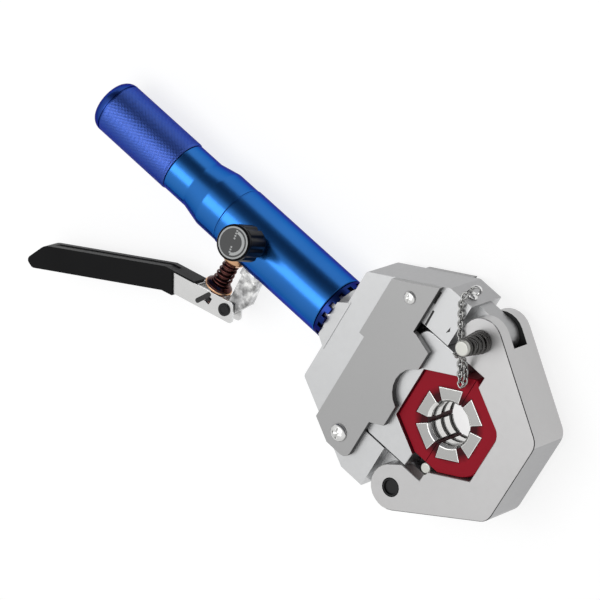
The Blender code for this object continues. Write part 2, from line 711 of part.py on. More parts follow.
def make_check_valves():
    at_y = -VALVE_PASSAGE_Y
    at_z = -VALVE_PASSAGE_Z
    floor = COLLAR_END + COLLAR_SPIGOT_LENGTH + GAP
    chamber_rear = PUMP_X - PUMP_BORE_RADIUS
    chamber_front = PUMP_X + PUMP_BORE_RADIUS
    suction_x = (floor + chamber_rear) / 2
    delivery_x = chamber_front + VALVE_BALL_SETBACK
    sphere("suction_ball", min(VALVE_BALL_RADIUS, chamber_rear - suction_x), (suction_x, at_y, at_z), BRIGHT_STEEL)
    sphere("delivery_ball", VALVE_BALL_RADIUS, (delivery_x, at_y, at_z), BRIGHT_STEEL)
    spring_start = delivery_x + VALVE_BALL_RADIUS + GAP
    coil("delivery_spring", (spring_start, at_y, at_z), X_AXIS, BORE_BOTTOM_X - GAP - spring_start,
         VALVE_BALL_RADIUS - VALVE_SPRING_WIRE, VALVE_BALL_RADIUS - VALVE_SPRING_WIRE, VALVE_SPRING_WIRE,
         VALVE_SPRING_TURNS, VALVE_SPRING_POINTS, SPRING_STEEL)


# Ram: piston and rod, seal, return spring and punch

def make_ram():
    radius = RAM_BORE_RADIUS - PISTON_CLEARANCE
    groove = PISTON_X + PISTON_LENGTH / 2
    half = SEAL_GROOVE_WIDTH / 2
    rod_end = PUNCH_REAR_X - GAP
    profile = [(0, PISTON_X), (radius, PISTON_X), (radius, groove - half),
               (radius - SEAL_GROOVE_DEPTH, groove - half), (radius - SEAL_GROOVE_DEPTH, groove + half),
               (radius, groove + half), (radius, PISTON_X + PISTON_LENGTH),
               (ROD_RADIUS, PISTON_X + PISTON_LENGTH), (ROD_RADIUS, rod_end),
               (ROD_SPIGOT_RADIUS, rod_end), (ROD_SPIGOT_RADIUS, rod_end + ROD_SPIGOT_LENGTH),
               (0, rod_end + ROD_SPIGOT_LENGTH)]
    turned("ram_rod", profile, BRIGHT_STEEL, axis=X_AXIS)
    inner = radius - SEAL_GROOVE_DEPTH + GAP
    seal = [(radius, groove - half + GAP), (radius, groove + half - GAP),
            (inner, groove + half - GAP), (inner, groove - half + GAP)]
    turned("piston_seal", seal, RUBBER, axis=X_AXIS, ring=True)
    spring_start = PISTON_X + PISTON_LENGTH + GAP
    spring_radius = (RAM_BORE_RADIUS + ROD_RADIUS) / 2
    coil("ram_return_spring", (spring_start, 0, 0), X_AXIS, HEAD_SPIGOT_X - GAP - spring_start,
         spring_radius, spring_radius, RAM_SPRING_WIRE, RAM_SPRING_TURNS, RAM_SPRING_POINTS, SPRING_STEEL)


def make_punch():
    half = PUNCH_HALF_WIDTH
    outline = rounded([(PUNCH_REAR_X, -half, PUNCH_CORNER_RADIUS), (PUNCH_FRONT_X, -half, 0),
                       (PUNCH_FRONT_X, half, 0), (PUNCH_REAR_X, half, PUNCH_CORNER_RADIUS)], steps=4)
    punch = plate("punch", outline, -PUNCH_HALF_THICKNESS, PUNCH_HALF_THICKNESS, NICKEL)
    chamfer(punch, EDGE_CHAMFER)
    seat = hexagon(DIE_APOTHEM + DIE_SEAT_CLEARANCE)
    past = PUNCH_HALF_THICKNESS + OVERRUN
    cut(punch, plate("punch_die_seat", moved(seat, DIE_X), -past, past))
    cut(punch, rod("punch_rod_socket", ROD_SPIGOT_RADIUS + GAP, PUNCH_REAR_X - OVERRUN,
                   PUNCH_REAR_X + ROD_SPIGOT_LENGTH, None, axis=X_AXIS))


# Split die set: two holders and six grooved segments

def segment_outline(direction, grow, inner):
    """The wedge of one segment, pointing along direction in degrees from the die centre."""
    outer = DIE_POCKET_APOTHEM - GAP + grow
    wide = SEGMENT_HALF_WIDTH + grow
    narrow = wide - (outer - inner) * SEGMENT_TAPER
    turn = math.radians(direction)
    return [(DIE_X + x * math.cos(turn) - y * math.sin(turn), x * math.sin(turn) + y * math.cos(turn))
            for x, y in ((inner, -narrow), (outer, -wide), (outer, wide), (inner, narrow))]


def make_bore_cutter():
    """The crimping bore with its grooves and chamfers."""
    end = DIE_HALF_THICKNESS
    bore = DIE_BORE_RADIUS
    wide = bore + DIE_BORE_CHAMFER
    profile = [(0, -end - OVERRUN), (wide, -end - OVERRUN), (wide, -end), (bore, -end + DIE_BORE_CHAMFER)]
    for index in range(SEGMENT_GROOVES):
        middle = (index - (SEGMENT_GROOVES - 1) / 2) * SEGMENT_GROOVE_PITCH
        low = middle - SEGMENT_GROOVE_WIDTH / 2
        high = middle + SEGMENT_GROOVE_WIDTH / 2
        profile += [(bore, low), (bore + SEGMENT_GROOVE_DEPTH, low), (bore + SEGMENT_GROOVE_DEPTH, high), (bore, high)]
    profile += [(bore, end - DIE_BORE_CHAMFER), (wide, end), (wide, end + OVERRUN), (0, end + OVERRUN)]
    return turned("crimp_bore_cutter", profile, None, (DIE_X, 0, 0), steps=ROUND_STEPS)


def make_dies():
    bore = make_bore_cutter()
    past = DIE_HALF_THICKNESS + OVERRUN
    clear_radius = rod("web_tip_cutter", WEB_TIP_RADIUS, -past, past, None, (DIE_X, 0, 0), steps=ROUND_STEPS)
    reach = DIE_APOTHEM + OVERRUN
    tall = DIE_APOTHEM / math.cos(FRAME_SLOPE) + OVERRUN
    corner = block("die_corner_cutter", (DIE_X - reach, -tall, -past), (DIE_X + reach, -DIE_CORNER_CUT, past))
    halves = (("die_holder_rear", (120, 180, 240), (DIE_X - SPLIT_GAP, DIE_X + reach)),
              ("die_holder_front", (-60, 0, 60), (DIE_X - reach, DIE_X + SPLIT_GAP)))
    number = 1
    for name, directions, away in halves:
        holder = plate(name, moved(hexagon(DIE_APOTHEM), DIE_X), -DIE_HALF_THICKNESS, DIE_HALF_THICKNESS, RED)
        chamfer(holder, EDGE_CHAMFER)
        cut(holder, block(name + "_split", (away[0], -tall, -past), (away[1], tall, past)))
        cut(holder, corner)
        for direction in directions:
            pocket = plate(f"{name}_pocket_{direction}", segment_outline(direction, GAP, 0), -past, past)
            cut(holder, pocket)
            segment = plate(f"die_segment_{number}", segment_outline(direction, 0, WEB_TIP_RADIUS / 2),
                            -DIE_HALF_THICKNESS, DIE_HALF_THICKNESS, ZINC)
            cut(segment, bore)
            number += 1
        cut(holder, clear_radius)


def make_lock_pin():
    centre = (DIE_X + LOCK_PIN_OFFSET, -LOCK_PIN_DROP, 0)
    end = DIE_HALF_THICKNESS
    profile = [(0, -end), (LOCK_PIN_RADIUS - EDGE_CHAMFER, -end), (LOCK_PIN_RADIUS, EDGE_CHAMFER - end),
               (LOCK_PIN_RADIUS, end - EDGE_CHAMFER), (LOCK_PIN_RADIUS - EDGE_CHAMFER, end), (0, end)]
    turned("die_lock_pin", profile, BRIGHT_STEEL, centre, steps=SMALL_STEPS)


# Crimp head frame

def frame_slope_x(y):
    """X on the sloping outer edge of the frame at a height y from the middle."""
    return FRAME_X + (abs(y) - FRAME_REAR_HALF_WIDTH) / math.tan(FRAME_SLOPE)


def make_frame():
    top_x = frame_slope_x(FRAME_HALF_WIDTH)
    half = rounded([(FRAME_X, 0, 0), (FRAME_X, FRAME_REAR_HALF_WIDTH, FRAME_CORNER_RADIUS),
                    (top_x, FRAME_HALF_WIDTH, FRAME_CORNER_RADIUS), (SHOULDER_X, FRAME_HALF_WIDTH, 0),
                    (SHOULDER_X, CHANNEL_HALF_WIDTH, 0), (POCKET_X, CHANNEL_HALF_WIDTH, 0)])
    frame = plate("head_frame", mirrored(half[1:]), -HEAD_HALF_THICKNESS, HEAD_HALF_THICKNESS, NICKEL)
    chamfer(frame, EDGE_CHAMFER)
    for side, label in ((1, "upper"), (-1, "lower")):
        pin_y = side * PIN_HALF_SPREAD
        tip = arc((PIN_X, pin_y), TONGUE_RADIUS, -90, 90, EAR_ARC_STEPS)
        root = SHOULDER_X - TONGUE_ROOT
        shape = [(root, pin_y - TONGUE_RADIUS)] + tip + [(root, pin_y + TONGUE_RADIUS)]
        join(frame, plate(f"frame_tongue_{label}", shape, -TONGUE_HALF_THICKNESS, TONGUE_HALF_THICKNESS))
    boss = [(0, HEAD_SPIGOT_X), (HEAD_SPIGOT_RADIUS, HEAD_SPIGOT_X), (HEAD_SPIGOT_RADIUS, RING_END + GAP),
            (BOSS_RADIUS, RING_END + GAP), (BOSS_RADIUS, FRAME_X + OVERRUN), (0, FRAME_X + OVERRUN)]
    neck = turned("frame_boss", boss, None, axis=X_AXIS)
    flat = HEAD_HALF_THICKNESS - EDGE_CHAMFER - GAP
    wide = BOSS_RADIUS + OVERRUN
    for face, low, high in (("front", flat, wide), ("rear", -wide, -flat)):
        cut(neck, block(f"boss_{face}_flat", (RING_END + GAP, -wide, low), (FRAME_X + wide, wide, high)))
    join(frame, neck)
    cut(frame, rod("frame_rod_bore", ROD_RADIUS + ROD_CLEARANCE, HEAD_SPIGOT_X - OVERRUN, POCKET_X + OVERRUN,
                   None, axis=X_AXIS))
    for y, radius, label in ((-PIN_HALF_SPREAD, HINGE_PIN_RADIUS, "hinge"),
                             (PIN_HALF_SPREAD, LATCH_PIN_RADIUS, "latch")):
        past = TONGUE_HALF_THICKNESS + OVERRUN
        cut(frame, rod(f"tongue_{label}_hole", radius + PIN_CLEARANCE, -past, past, None, (PIN_X, y, 0)))
    for label, x, y in screw_places():
        for face in (1, -1):
            cut(frame, rod(f"screw_hole_{label}_{face}", SCREW_SHANK_RADIUS + GAP,
                           COVER_FACE - SCREW_SHANK_LENGTH - GAP, COVER_FACE, None,
                           (x, y, 0), Z_AXIS * face, steps=12))
    cut(frame, rod("eye_screw_hole", EYE_SHANK_RADIUS + GAP, FRAME_HALF_WIDTH - EYE_SHANK_LENGTH - GAP,
                   FRAME_HALF_WIDTH + OVERRUN, None, (FRAME_X + EYE_X, 0, EYE_Z), Y_AXIS, steps=12))


# Cover plates and their screws

def screw_places():
    return (("lower", FRAME_X + LOWER_SCREW_X, -LOWER_SCREW_Y), ("upper", FRAME_X + UPPER_SCREW_X, UPPER_SCREW_Y))


def cover_outline():
    left = FRAME_X + COVER_LEFT
    left_step = left + COVER_LEFT_STEP
    upper_right = FRAME_X + COVER_UPPER_RIGHT
    wide_right = FRAME_X + COVER_WIDE_RIGHT
    lower_right = FRAME_X + COVER_LOWER_RIGHT
    slope = math.tan(FRAME_SLOPE)

    def edge_y(x):
        return FRAME_REAR_HALF_WIDTH + (x - FRAME_X) * slope

    bite = (FRAME_X + COVER_BITE_DISTANCE, COVER_BITE_Y)
    lean = math.degrees(math.acos((COVER_BITE_DISTANCE - COVER_WIDE_RIGHT) / COVER_BITE_RADIUS))
    return rounded([(left, COVER_LEFT_STEP_Y, 0), (left, edge_y(left), 0),
                    (upper_right, edge_y(upper_right), 0), (upper_right, COVER_UPPER_SHELF, 0),
                    (upper_right + COVER_SHELF_STEP, COVER_UPPER_SHELF, 0), (wide_right, COVER_UPPER_SLANT, 0)]) \
        + arc(bite, COVER_BITE_RADIUS, 180 - lean, 180 + lean, 8) \
        + rounded([(wide_right, -COVER_LOWER_SLANT, 0), (lower_right, -COVER_LOWER_SHELF, 0),
                   (lower_right, -COVER_BOTTOM, COVER_CORNER_RADIUS),
                   (frame_slope_x(COVER_BOTTOM), -COVER_BOTTOM, 0), (left_step, -edge_y(left_step), 0),
                   (left_step, COVER_LEFT_STEP_Y, 0)])


def make_cover(name, face):
    low = HEAD_HALF_THICKNESS + GAP
    ends = (low, COVER_FACE) if face > 0 else (-COVER_FACE, -low)
    cover = plate(name, cover_outline(), *ends, GREY_PLATE)
    for label, x, y in screw_places():
        cut(cover, rod(f"{name}_{label}_hole", SCREW_SHANK_RADIUS + GAP, low - OVERRUN, COVER_FACE + OVERRUN,
                       None, (x, y, 0), Z_AXIS * face, steps=12))
        heads = {"lower": (LOWER_SCREW_HEAD_RADIUS, LOWER_SCREW_HEAD_HEIGHT),
                 "upper": (UPPER_SCREW_HEAD_RADIUS, UPPER_SCREW_HEAD_HEIGHT)}
        radius, height = heads[label]
        base = COVER_FACE + GAP
        dome = [(radius * math.cos(math.radians(90 * step / SCREW_HEAD_STEPS)),
                 base + height * math.sin(math.radians(90 * step / SCREW_HEAD_STEPS)))
                for step in range(SCREW_HEAD_STEPS + 1)]
        tip = COVER_FACE - SCREW_SHANK_LENGTH
        profile = [(0, tip), (SCREW_SHANK_RADIUS, tip), (SCREW_SHANK_RADIUS, base)] + dome[:-1] + [(0, base + height)]
        side = name.split("_")[0]
        turned(f"cover_screw_{side}_{label}", profile, BRIGHT_STEEL, (x, y, 0), Z_AXIS * face, steps=SMALL_STEPS)


# Hinged yoke with its pins

def make_yoke():
    lean = 90 - math.degrees(YOKE_SLOPE)
    ear = arc((PIN_X, PIN_HALF_SPREAD), EAR_RADIUS, 225, lean, EAR_ARC_STEPS)
    tangent = ear[-1]
    corner_y = tangent[1] - (YOKE_FRONT_X - tangent[0]) * math.tan(YOKE_SLOPE)
    nose = rounded([(tangent[0], tangent[1], 0), (YOKE_FRONT_X, corner_y, YOKE_CORNER_RADIUS),
                    (YOKE_FRONT_X, 0, 0)], steps=4)[1:-1]
    seat = hexagon(DIE_APOTHEM + DIE_SEAT_CLEARANCE)
    mouth_x = PIN_X - MOUTH_START_SETBACK
    step_x = DIE_X + MOUTH_STEP
    upper = [(mouth_x, MOUTH_HALF_WIDTH)] + ear + nose
    lower_mouth = [(step_x, MOUTH_HALF_WIDTH), (mouth_x, MOUTH_HALF_WIDTH)]
    seat_corner = seat[0]
    apex = seat[1][1]
    seat_y = apex - MOUTH_STEP * (apex - seat_corner[1]) / seat_corner[0]
    inner = [(DIE_X + seat_corner[0], seat_corner[1]), (step_x, seat_y)] + lower_mouth[:1]
    outline = upper + [(x, -y) for x, y in reversed(upper)] + [(x, -y) for x, y in reversed(inner)] + inner
    yoke = plate("yoke", outline, -HEAD_HALF_THICKNESS, HEAD_HALF_THICKNESS, NICKEL)
    chamfer(yoke, EDGE_CHAMFER)
    past = HEAD_HALF_THICKNESS + OVERRUN
    reach = PIN_HALF_SPREAD + EAR_RADIUS + OVERRUN
    for side, label in ((1, "upper"), (-1, "lower")):
        near = side * (MOUTH_HALF_WIDTH - OVERRUN)
        far = side * (reach + OVERRUN)
        cut(yoke, block(f"ear_slot_{label}",
                        (PIN_X - EAR_RADIUS - OVERRUN, min(near, far), -EAR_SLOT_HALF_WIDTH),
                        (PIN_X + EAR_SLOT_REACH, max(near, far), EAR_SLOT_HALF_WIDTH)))
    for y, radius, label in ((-PIN_HALF_SPREAD, HINGE_PIN_RADIUS, "hinge"),
                             (PIN_HALF_SPREAD, LATCH_PIN_RADIUS, "latch")):
        cut(yoke, rod(f"yoke_{label}_hole", radius + PIN_CLEARANCE, -past, past, None, (PIN_X, y, 0)))
    cut(yoke, rod("lock_pin_seat", LOCK_PIN_RADIUS + GAP, -past, past, None,
                  (DIE_X + LOCK_PIN_OFFSET, -LOCK_PIN_DROP, 0)))


def make_hinge_pin():
    end = HEAD_HALF_THICKNESS
    radius = HINGE_PIN_RADIUS
    profile = [(0, -end), (radius - EDGE_CHAMFER, -end), (radius, EDGE_CHAMFER - end),
               (radius, end - EDGE_CHAMFER), (radius - EDGE_CHAMFER, end), (0, end)]
    turned("hinge_pin", profile, BLACK_STEEL, (PIN_X, -PIN_HALF_SPREAD, 0), steps=SMALL_STEPS)


def make_latch():
    origin = (PIN_X, PIN_HALF_SPREAD, 0)
    cap_low = FRONT_FACE + LATCH_STANDOFF
    tip = FRONT_FACE - LATCH_TIP_HOLD
    radius = LATCH_PIN_RADIUS
    stem = radius - LATCH_CAP_RECESS
    pin = [(0, tip), (radius - LATCH_TIP_CHAMFER, tip), (radius, tip + LATCH_TIP_CHAMFER),
           (radius, cap_low - GAP), (stem, cap_low - GAP), (stem, cap_low + LATCH_CAP_RECESS),
           (0, cap_low + LATCH_CAP_RECESS)]
    turned("latch_pin", pin, BRIGHT_STEEL, origin, steps=SMALL_STEPS)
    top = cap_low + LATCH_CAP_THICKNESS
    edge = EDGE_CHAMFER
    cap = [(LATCH_CAP_RADIUS, cap_low), (LATCH_CAP_RADIUS, top - edge), (LATCH_CAP_RADIUS - edge, top),
           (0, top), (0, cap_low + LATCH_CAP_RECESS + GAP), (stem + GAP, cap_low + LATCH_CAP_RECESS + GAP),
           (stem + GAP, cap_low)]
    turned("latch_cap", cap, BRIGHT_STEEL, origin, steps=SMALL_STEPS, ring=True)
    coil("latch_spring", (PIN_X, PIN_HALF_SPREAD, FRONT_FACE + GAP), Z_AXIS, LATCH_STANDOFF - 2 * GAP,
         LATCH_SPRING_BIG, LATCH_SPRING_SMALL, LATCH_SPRING_WIRE, LATCH_SPRING_TURNS, LATCH_SPRING_POINTS,
         SPRING_STEEL)


# Pump: gland, plunger, spring and seat

def make_pump():
    origin = (PUMP_X, 0, 0)
    down = -Y_AXIS
    face = CYLINDER_RADIUS - SPOT_FACE_DEPTH
    head = face + GAP
    head_end = head + GLAND_HEAD_LENGTH
    inner = PUMP_BORE_RADIUS
    thread = face - GLAND_THREAD_LENGTH
    gland = [(GLAND_THREAD_RADIUS, thread), (GLAND_THREAD_RADIUS, head), (GLAND_HEAD_RADIUS, head),
             (GLAND_HEAD_RADIUS, head_end), (inner, head_end), (inner, thread)]
    turned("pump_gland", gland, BRASS, origin, down, steps=24, ring=True)
    spring_start = head_end + GAP
    seat = spring_start + PUMP_SPRING_LENGTH + GAP
    washer = seat + SEAT_THICKNESS + GAP
    plunger_radius = PUMP_BORE_RADIUS - PLUNGER_CLEARANCE
    foot = washer + WASHER_THICKNESS + GAP
    end = THRUST_DEPTH + THRUST_PIN_RADIUS + PLUNGER_FOOT
    plunger = [(0, PLUNGER_END), (plunger_radius, PLUNGER_END),
               (plunger_radius, seat), (PLUNGER_COLLAR_RADIUS, seat), (PLUNGER_COLLAR_RADIUS, end), (0, end)]
    piece = turned("pump_plunger", plunger, BRIGHT_STEEL, origin, down, steps=SMALL_STEPS)
    flat = BRACKET_HALF_WIDTH
    for sign in (1, -1):
        low = min(sign * flat, sign * (flat + OVERRUN))
        cut(piece, block(f"plunger_flat_{sign}", (PUMP_X - OVERRUN * 2, -end - OVERRUN, low),
                         (PUMP_X + OVERRUN * 2, -foot, low + OVERRUN)))
    cut(piece, rod("thrust_pin_hole", THRUST_PIN_RADIUS + GAP, -OVERRUN * 2, OVERRUN * 2, None,
                   (PUMP_X, -THRUST_DEPTH, 0), steps=16))
    hole = PLUNGER_COLLAR_RADIUS + GAP
    turned("spring_seat", [(SEAT_RADIUS - WASHER_THICKNESS, seat), (SEAT_RADIUS, seat + SEAT_THICKNESS),
                           (hole, seat + SEAT_THICKNESS), (hole, seat)],
           BLACK_STEEL, origin, down, steps=24, ring=True)
    turned("seat_washer", [(WASHER_RADIUS, washer), (WASHER_RADIUS, washer + WASHER_THICKNESS),
                           (hole, washer + WASHER_THICKNESS), (hole, washer)],
           BRASS, origin, down, steps=24, ring=True)
    coil("pump_spring", (PUMP_X, -spring_start, 0), down, PUMP_SPRING_LENGTH, PUMP_SPRING_TOP_RADIUS,
         PUMP_SPRING_FOOT_RADIUS, PUMP_SPRING_WIRE, PUMP_SPRING_TURNS, PUMP_SPRING_POINTS, SPRING_STEEL)
    half = LEVER_INNER_HALF_WIDTH + LEVER_SHEET
    rod("thrust_pin", THRUST_PIN_RADIUS, -half, half, BRIGHT_STEEL, (PUMP_X, -THRUST_DEPTH, 0), steps=16)


# Bracket, fulcrum pin, lever and its rubber grip

def make_bracket():
    eye = (FULCRUM_X, -FULCRUM_DEPTH)
    rear = FULCRUM_X - BRACKET_REAR
    front = FULCRUM_X + BRACKET_FRONT
    top = -CYLINDER_RADIUS + SPOT_FACE_DEPTH - GAP
    foot = top - BRACKET_FOOT_DEPTH
    waist = -FULCRUM_DEPTH + BRACKET_WAIST
    outline = arc(eye, BRACKET_EYE_RADIUS, 105, 330, 12) + [
        (FULCRUM_X + BRACKET_BELLY, waist), (front, foot), (front, top), (rear, top)]
    bracket = plate("lever_bracket", outline, -BRACKET_HALF_WIDTH, BRACKET_HALF_WIDTH, BRIGHT_STEEL)
    join(bracket, block("bracket_foot", (rear, foot, -BRACKET_FOOT_HALF_WIDTH),
                        (front, top, BRACKET_FOOT_HALF_WIDTH)))
    cut(bracket, rod("bracket_pin_hole", FULCRUM_RADIUS + GAP, -OVERRUN * 3, OVERRUN * 3, None,
                     (*eye, 0)))


def lever_point(along, down):
    """A point in the lever's own direction: along from the fulcrum to the grip, down from its top edge."""
    turn = LEVER_SLOPE
    x = FULCRUM_X - along * math.cos(turn) + down * math.sin(turn) - LEVER_TOP_ABOVE_PIN * math.sin(turn)
    y = -FULCRUM_DEPTH - along * math.sin(turn) - down * math.cos(turn) + LEVER_TOP_ABOVE_PIN * math.cos(turn)
    return (x, y)


def grip_point(along, down):
    """A point in the rubber grip's direction, from the bend of the lever's top edge."""
    bend = lever_point(LEVER_STEEL_LENGTH, 0)
    turn = RUBBER_SLOPE
    return (bend[0] - along * math.cos(turn) + down * math.sin(turn),
            bend[1] - along * math.sin(turn) - down * math.cos(turn))


def steel_outline():
    """The side view of the pressed steel lever with the tang inside its grip."""
    bend = math.tan((RUBBER_SLOPE - LEVER_SLOPE) / 2)
    nose = rounded([(*lever_point(0, LEVER_DEPTH), 0),
                    (*lever_point(-LEVER_NOSE, LEVER_DEPTH), LEVER_NOSE_ROUNDING),
                    (*lever_point(-LEVER_NOSE_UPPER, 0), LEVER_NOSE_ROUNDING),
                    (*lever_point(0, 0), 0)])
    return [lever_point(LEVER_STEEL_LENGTH, 0),
            grip_point(TANG_LENGTH, 0), grip_point(TANG_LENGTH, TANG_HEIGHT),
            grip_point(TANG_HEIGHT * bend, TANG_HEIGHT),
            lever_point(LEVER_STEEL_LENGTH, LEVER_DEPTH)] + nose


def make_lever():
    half = LEVER_INNER_HALF_WIDTH + LEVER_SHEET
    lever = plate("lever_arm", steel_outline(), -half, half, BRIGHT_STEEL)
    inner = LEVER_INNER_HALF_WIDTH
    deep = LEVER_DEPTH + OVERRUN
    throat = [lever_point(-LEVER_NOSE - OVERRUN, -OVERRUN), lever_point(LEVER_WEB_START, -OVERRUN),
              lever_point(LEVER_WEB_START, LEVER_SHEET), lever_point(LEVER_STEEL_LENGTH, LEVER_SHEET),
              grip_point(TANG_LENGTH - LEVER_SHEET, LEVER_SHEET), grip_point(TANG_LENGTH - LEVER_SHEET, deep),
              lever_point(LEVER_STEEL_LENGTH, deep), lever_point(-LEVER_NOSE - OVERRUN, deep)]
    cut(lever, plate("lever_channel", throat, -inner, inner))
    past = half + OVERRUN
    cut(lever, rod("lever_pin_hole", FULCRUM_RADIUS + GAP, -past, past, None, (FULCRUM_X, -FULCRUM_DEPTH, 0)))
    slot_half = THRUST_PIN_RADIUS + THRUST_SLOT_CLEARANCE
    travel = THRUST_PIN_RADIUS + THRUST_SLOT_TRAVEL
    slot = [(PUMP_X - travel, -THRUST_DEPTH - slot_half), (PUMP_X + travel, -THRUST_DEPTH - slot_half),
            (PUMP_X + travel, -THRUST_DEPTH + slot_half), (PUMP_X - travel, -THRUST_DEPTH + slot_half)]
    cut(lever, plate("thrust_slot", slot, -past, past))


def make_rubber_grip():
    top = RUBBER_TOP_THICKNESS
    half = RUBBER_HALF_WIDTH
    low = RUBBER_HEIGHT - top
    bend = math.tan((RUBBER_SLOPE - LEVER_SLOPE) / 2)
    outline = rounded([
        (*lever_point(RUBBER_START, -top), 0), (*lever_point(LEVER_STEEL_LENGTH, -top), 0),
        (*grip_point(RUBBER_TOP_LENGTH, -top), RUBBER_SHOULDER_ROUNDING),
        (*grip_point(RUBBER_LENGTH, RUBBER_TIP_DEPTH - top), RUBBER_TIP_ROUNDING),
        (*grip_point(RUBBER_LOWER_LENGTH, low), RUBBER_TIP_ROUNDING),
        (*grip_point(low * bend, low), 0),
        (*lever_point(RUBBER_LOWER_START, LEVER_DEPTH + RUBBER_BOTTOM_THICKNESS), 0),
        (*lever_point(RUBBER_SIDE_START, -GAP), 0), (*lever_point(RUBBER_START, -GAP), 0)])
    grip = plate("lever_grip", outline, -half, half, RUBBER)
    inside = LEVER_INNER_HALF_WIDTH + LEVER_SHEET + GAP
    cut(grip, plate("grip_hollow", grown(steel_outline(), GAP), -inside, inside))
    floor = RUBBER_GROOVE_DEPTH - top
    above = -top - OVERRUN
    groove = [lever_point(LEVER_STEEL_LENGTH - RUBBER_GROOVE_SETBACK, above), lever_point(LEVER_STEEL_LENGTH, above),
              grip_point(RUBBER_TOP_LENGTH, above), grip_point(RUBBER_TOP_LENGTH - RUBBER_GROOVE_SETBACK, floor),
              grip_point(0, floor), lever_point(LEVER_STEEL_LENGTH - RUBBER_GROOVE_SETBACK, floor)]
    cut(grip, plate("grip_groove", groove, -RUBBER_GROOVE_WIDTH / 2, RUBBER_GROOVE_WIDTH / 2))


def make_fulcrum_pin():
    half = LEVER_INNER_HALF_WIDTH + LEVER_SHEET + GAP
    head = half + FULCRUM_HEAD_THICKNESS
    profile = [(0, -head), (FULCRUM_HEAD_RADIUS, -head), (FULCRUM_HEAD_RADIUS, -half), (FULCRUM_RADIUS, -half),
               (FULCRUM_RADIUS, half), (FULCRUM_HEAD_RADIUS, half), (FULCRUM_HEAD_RADIUS, head), (0, head)]
    turned("fulcrum_pin", profile, BLACK_STEEL, (FULCRUM_X, -FULCRUM_DEPTH, 0), steps=SMALL_STEPS)


# Release valve: nut, spindle, knob and dial

def make_release_valve():
    origin = (KNOB_X, 0, 0)
    face = CYLINDER_RADIUS - SPOT_FACE_DEPTH
    nut_low = face + GAP
    nut_high = nut_low + GLAND_NUT_HEIGHT
    hole = SPINDLE_RADIUS + GAP
    nut = [(GLAND_NUT_RADIUS, nut_low), (GLAND_NUT_RADIUS, nut_high), (hole, nut_high), (hole, nut_low)]
    turned("release_gland_nut", nut, BLACK_STEEL, origin, KNOB_AXIS, steps=SMALL_STEPS, ring=True)
    knob_low = KNOB_FACE - KNOB_LENGTH
    tip = SPINDLE_TIP
    spindle = [(0, tip), (SPINDLE_RADIUS, tip + SPINDLE_TIP_LENGTH), (SPINDLE_RADIUS, knob_low + SPINDLE_HOLD),
               (0, knob_low + SPINDLE_HOLD)]
    turned("release_spindle", spindle, BRIGHT_STEEL, origin, KNOB_AXIS, steps=SMALL_STEPS)
    recess = DIAL_THICKNESS + DIAL_RECESS + GAP
    edge = KNOB_EDGE
    body = [(hole, knob_low), (KNOB_RADIUS - edge, knob_low), (KNOB_RADIUS, knob_low + edge),
            (KNOB_RADIUS, KNOB_FACE - edge), (KNOB_RADIUS - edge, KNOB_FACE),
            (DIAL_RADIUS + GAP, KNOB_FACE), (DIAL_RADIUS + GAP, KNOB_FACE - recess),
            (0, KNOB_FACE - recess), (0, knob_low + SPINDLE_HOLD + GAP), (hole, knob_low + SPINDLE_HOLD + GAP)]
    knob = turned("release_knob", body, BLACK_PLASTIC, origin, KNOB_AXIS, ring=True)
    away = KNOB_RADIUS + KNOB_FLUTE_RADIUS - KNOB_FLUTE_DEPTH
    side = Vector((1, 0, 0))
    other = KNOB_AXIS.cross(side)
    for index in range(KNOB_FLUTES):
        angle = math.tau * index / KNOB_FLUTES
        centre = Vector(origin) + (side * math.cos(angle) + other * math.sin(angle)) * away
        cut(knob, rod(f"knob_flute_{index}", KNOB_FLUTE_RADIUS, knob_low - OVERRUN,
                      KNOB_FACE - DIAL_THICKNESS - KNOB_EDGE, None, centre, KNOB_AXIS, steps=8))
    dial_top = KNOB_FACE - DIAL_RECESS
    rod("knob_dial", DIAL_RADIUS, dial_top - DIAL_THICKNESS, dial_top, DIAL_GREY, origin, KNOB_AXIS, steps=24)


# Eye screw and chain

def make_eye_screw():
    origin = (FRAME_X + EYE_X, 0, EYE_Z)
    face = FRAME_HALF_WIDTH
    base = face + GAP
    profile = [(0, face - EYE_SHANK_LENGTH), (EYE_SHANK_RADIUS, face - EYE_SHANK_LENGTH), (EYE_SHANK_RADIUS, base),
               (EYE_BASE_RADIUS, base), (EYE_BASE_RADIUS, base + EYE_BASE_HEIGHT), (0, base + EYE_BASE_HEIGHT)]
    screw = turned("chain_eye_screw", profile, BRIGHT_STEEL, origin, Y_AXIS, steps=16)
    centre_y = base + EYE_BASE_HEIGHT + EYE_RING_RADIUS
    ring = [(origin[0], centre_y + EYE_RING_RADIUS * math.sin(math.tau * index / EYE_RING_POINTS),
             EYE_Z + EYE_RING_RADIUS * math.cos(math.tau * index / EYE_RING_POINTS))
            for index in range(EYE_RING_POINTS)]
    join(screw, wire("eye_ring", ring, EYE_WIRE_RADIUS, None, cyclic=True))


CHAIN_ROUTE = [(0.3380, 0.0975, 0.0134), (0.3381, 0.0962, 0.0190), (0.3382, 0.0925, 0.0226),
               (0.3387, 0.0878, 0.0233), (0.3401, 0.0835, 0.0229), (0.3430, 0.0785, 0.0227),
               (0.3465, 0.0730, 0.0227), (0.3505, 0.0665, 0.0227), (0.3547, 0.0600, 0.0227),
               (0.3590, 0.0535, 0.0227), (0.3633, 0.0466, 0.0227), (0.3680, 0.0395, 0.0227),
               (0.3712, 0.0352, 0.0227), (0.3738, 0.0350, 0.0227), (0.3738, 0.0388, 0.0228),
               (0.3712, 0.0448, 0.0235), (0.3680, 0.0518, 0.0262), (0.3655, 0.0576, 0.0322),
               (0.3642, 0.0606, 0.0390), (0.3640, 0.0620, 0.0435)]


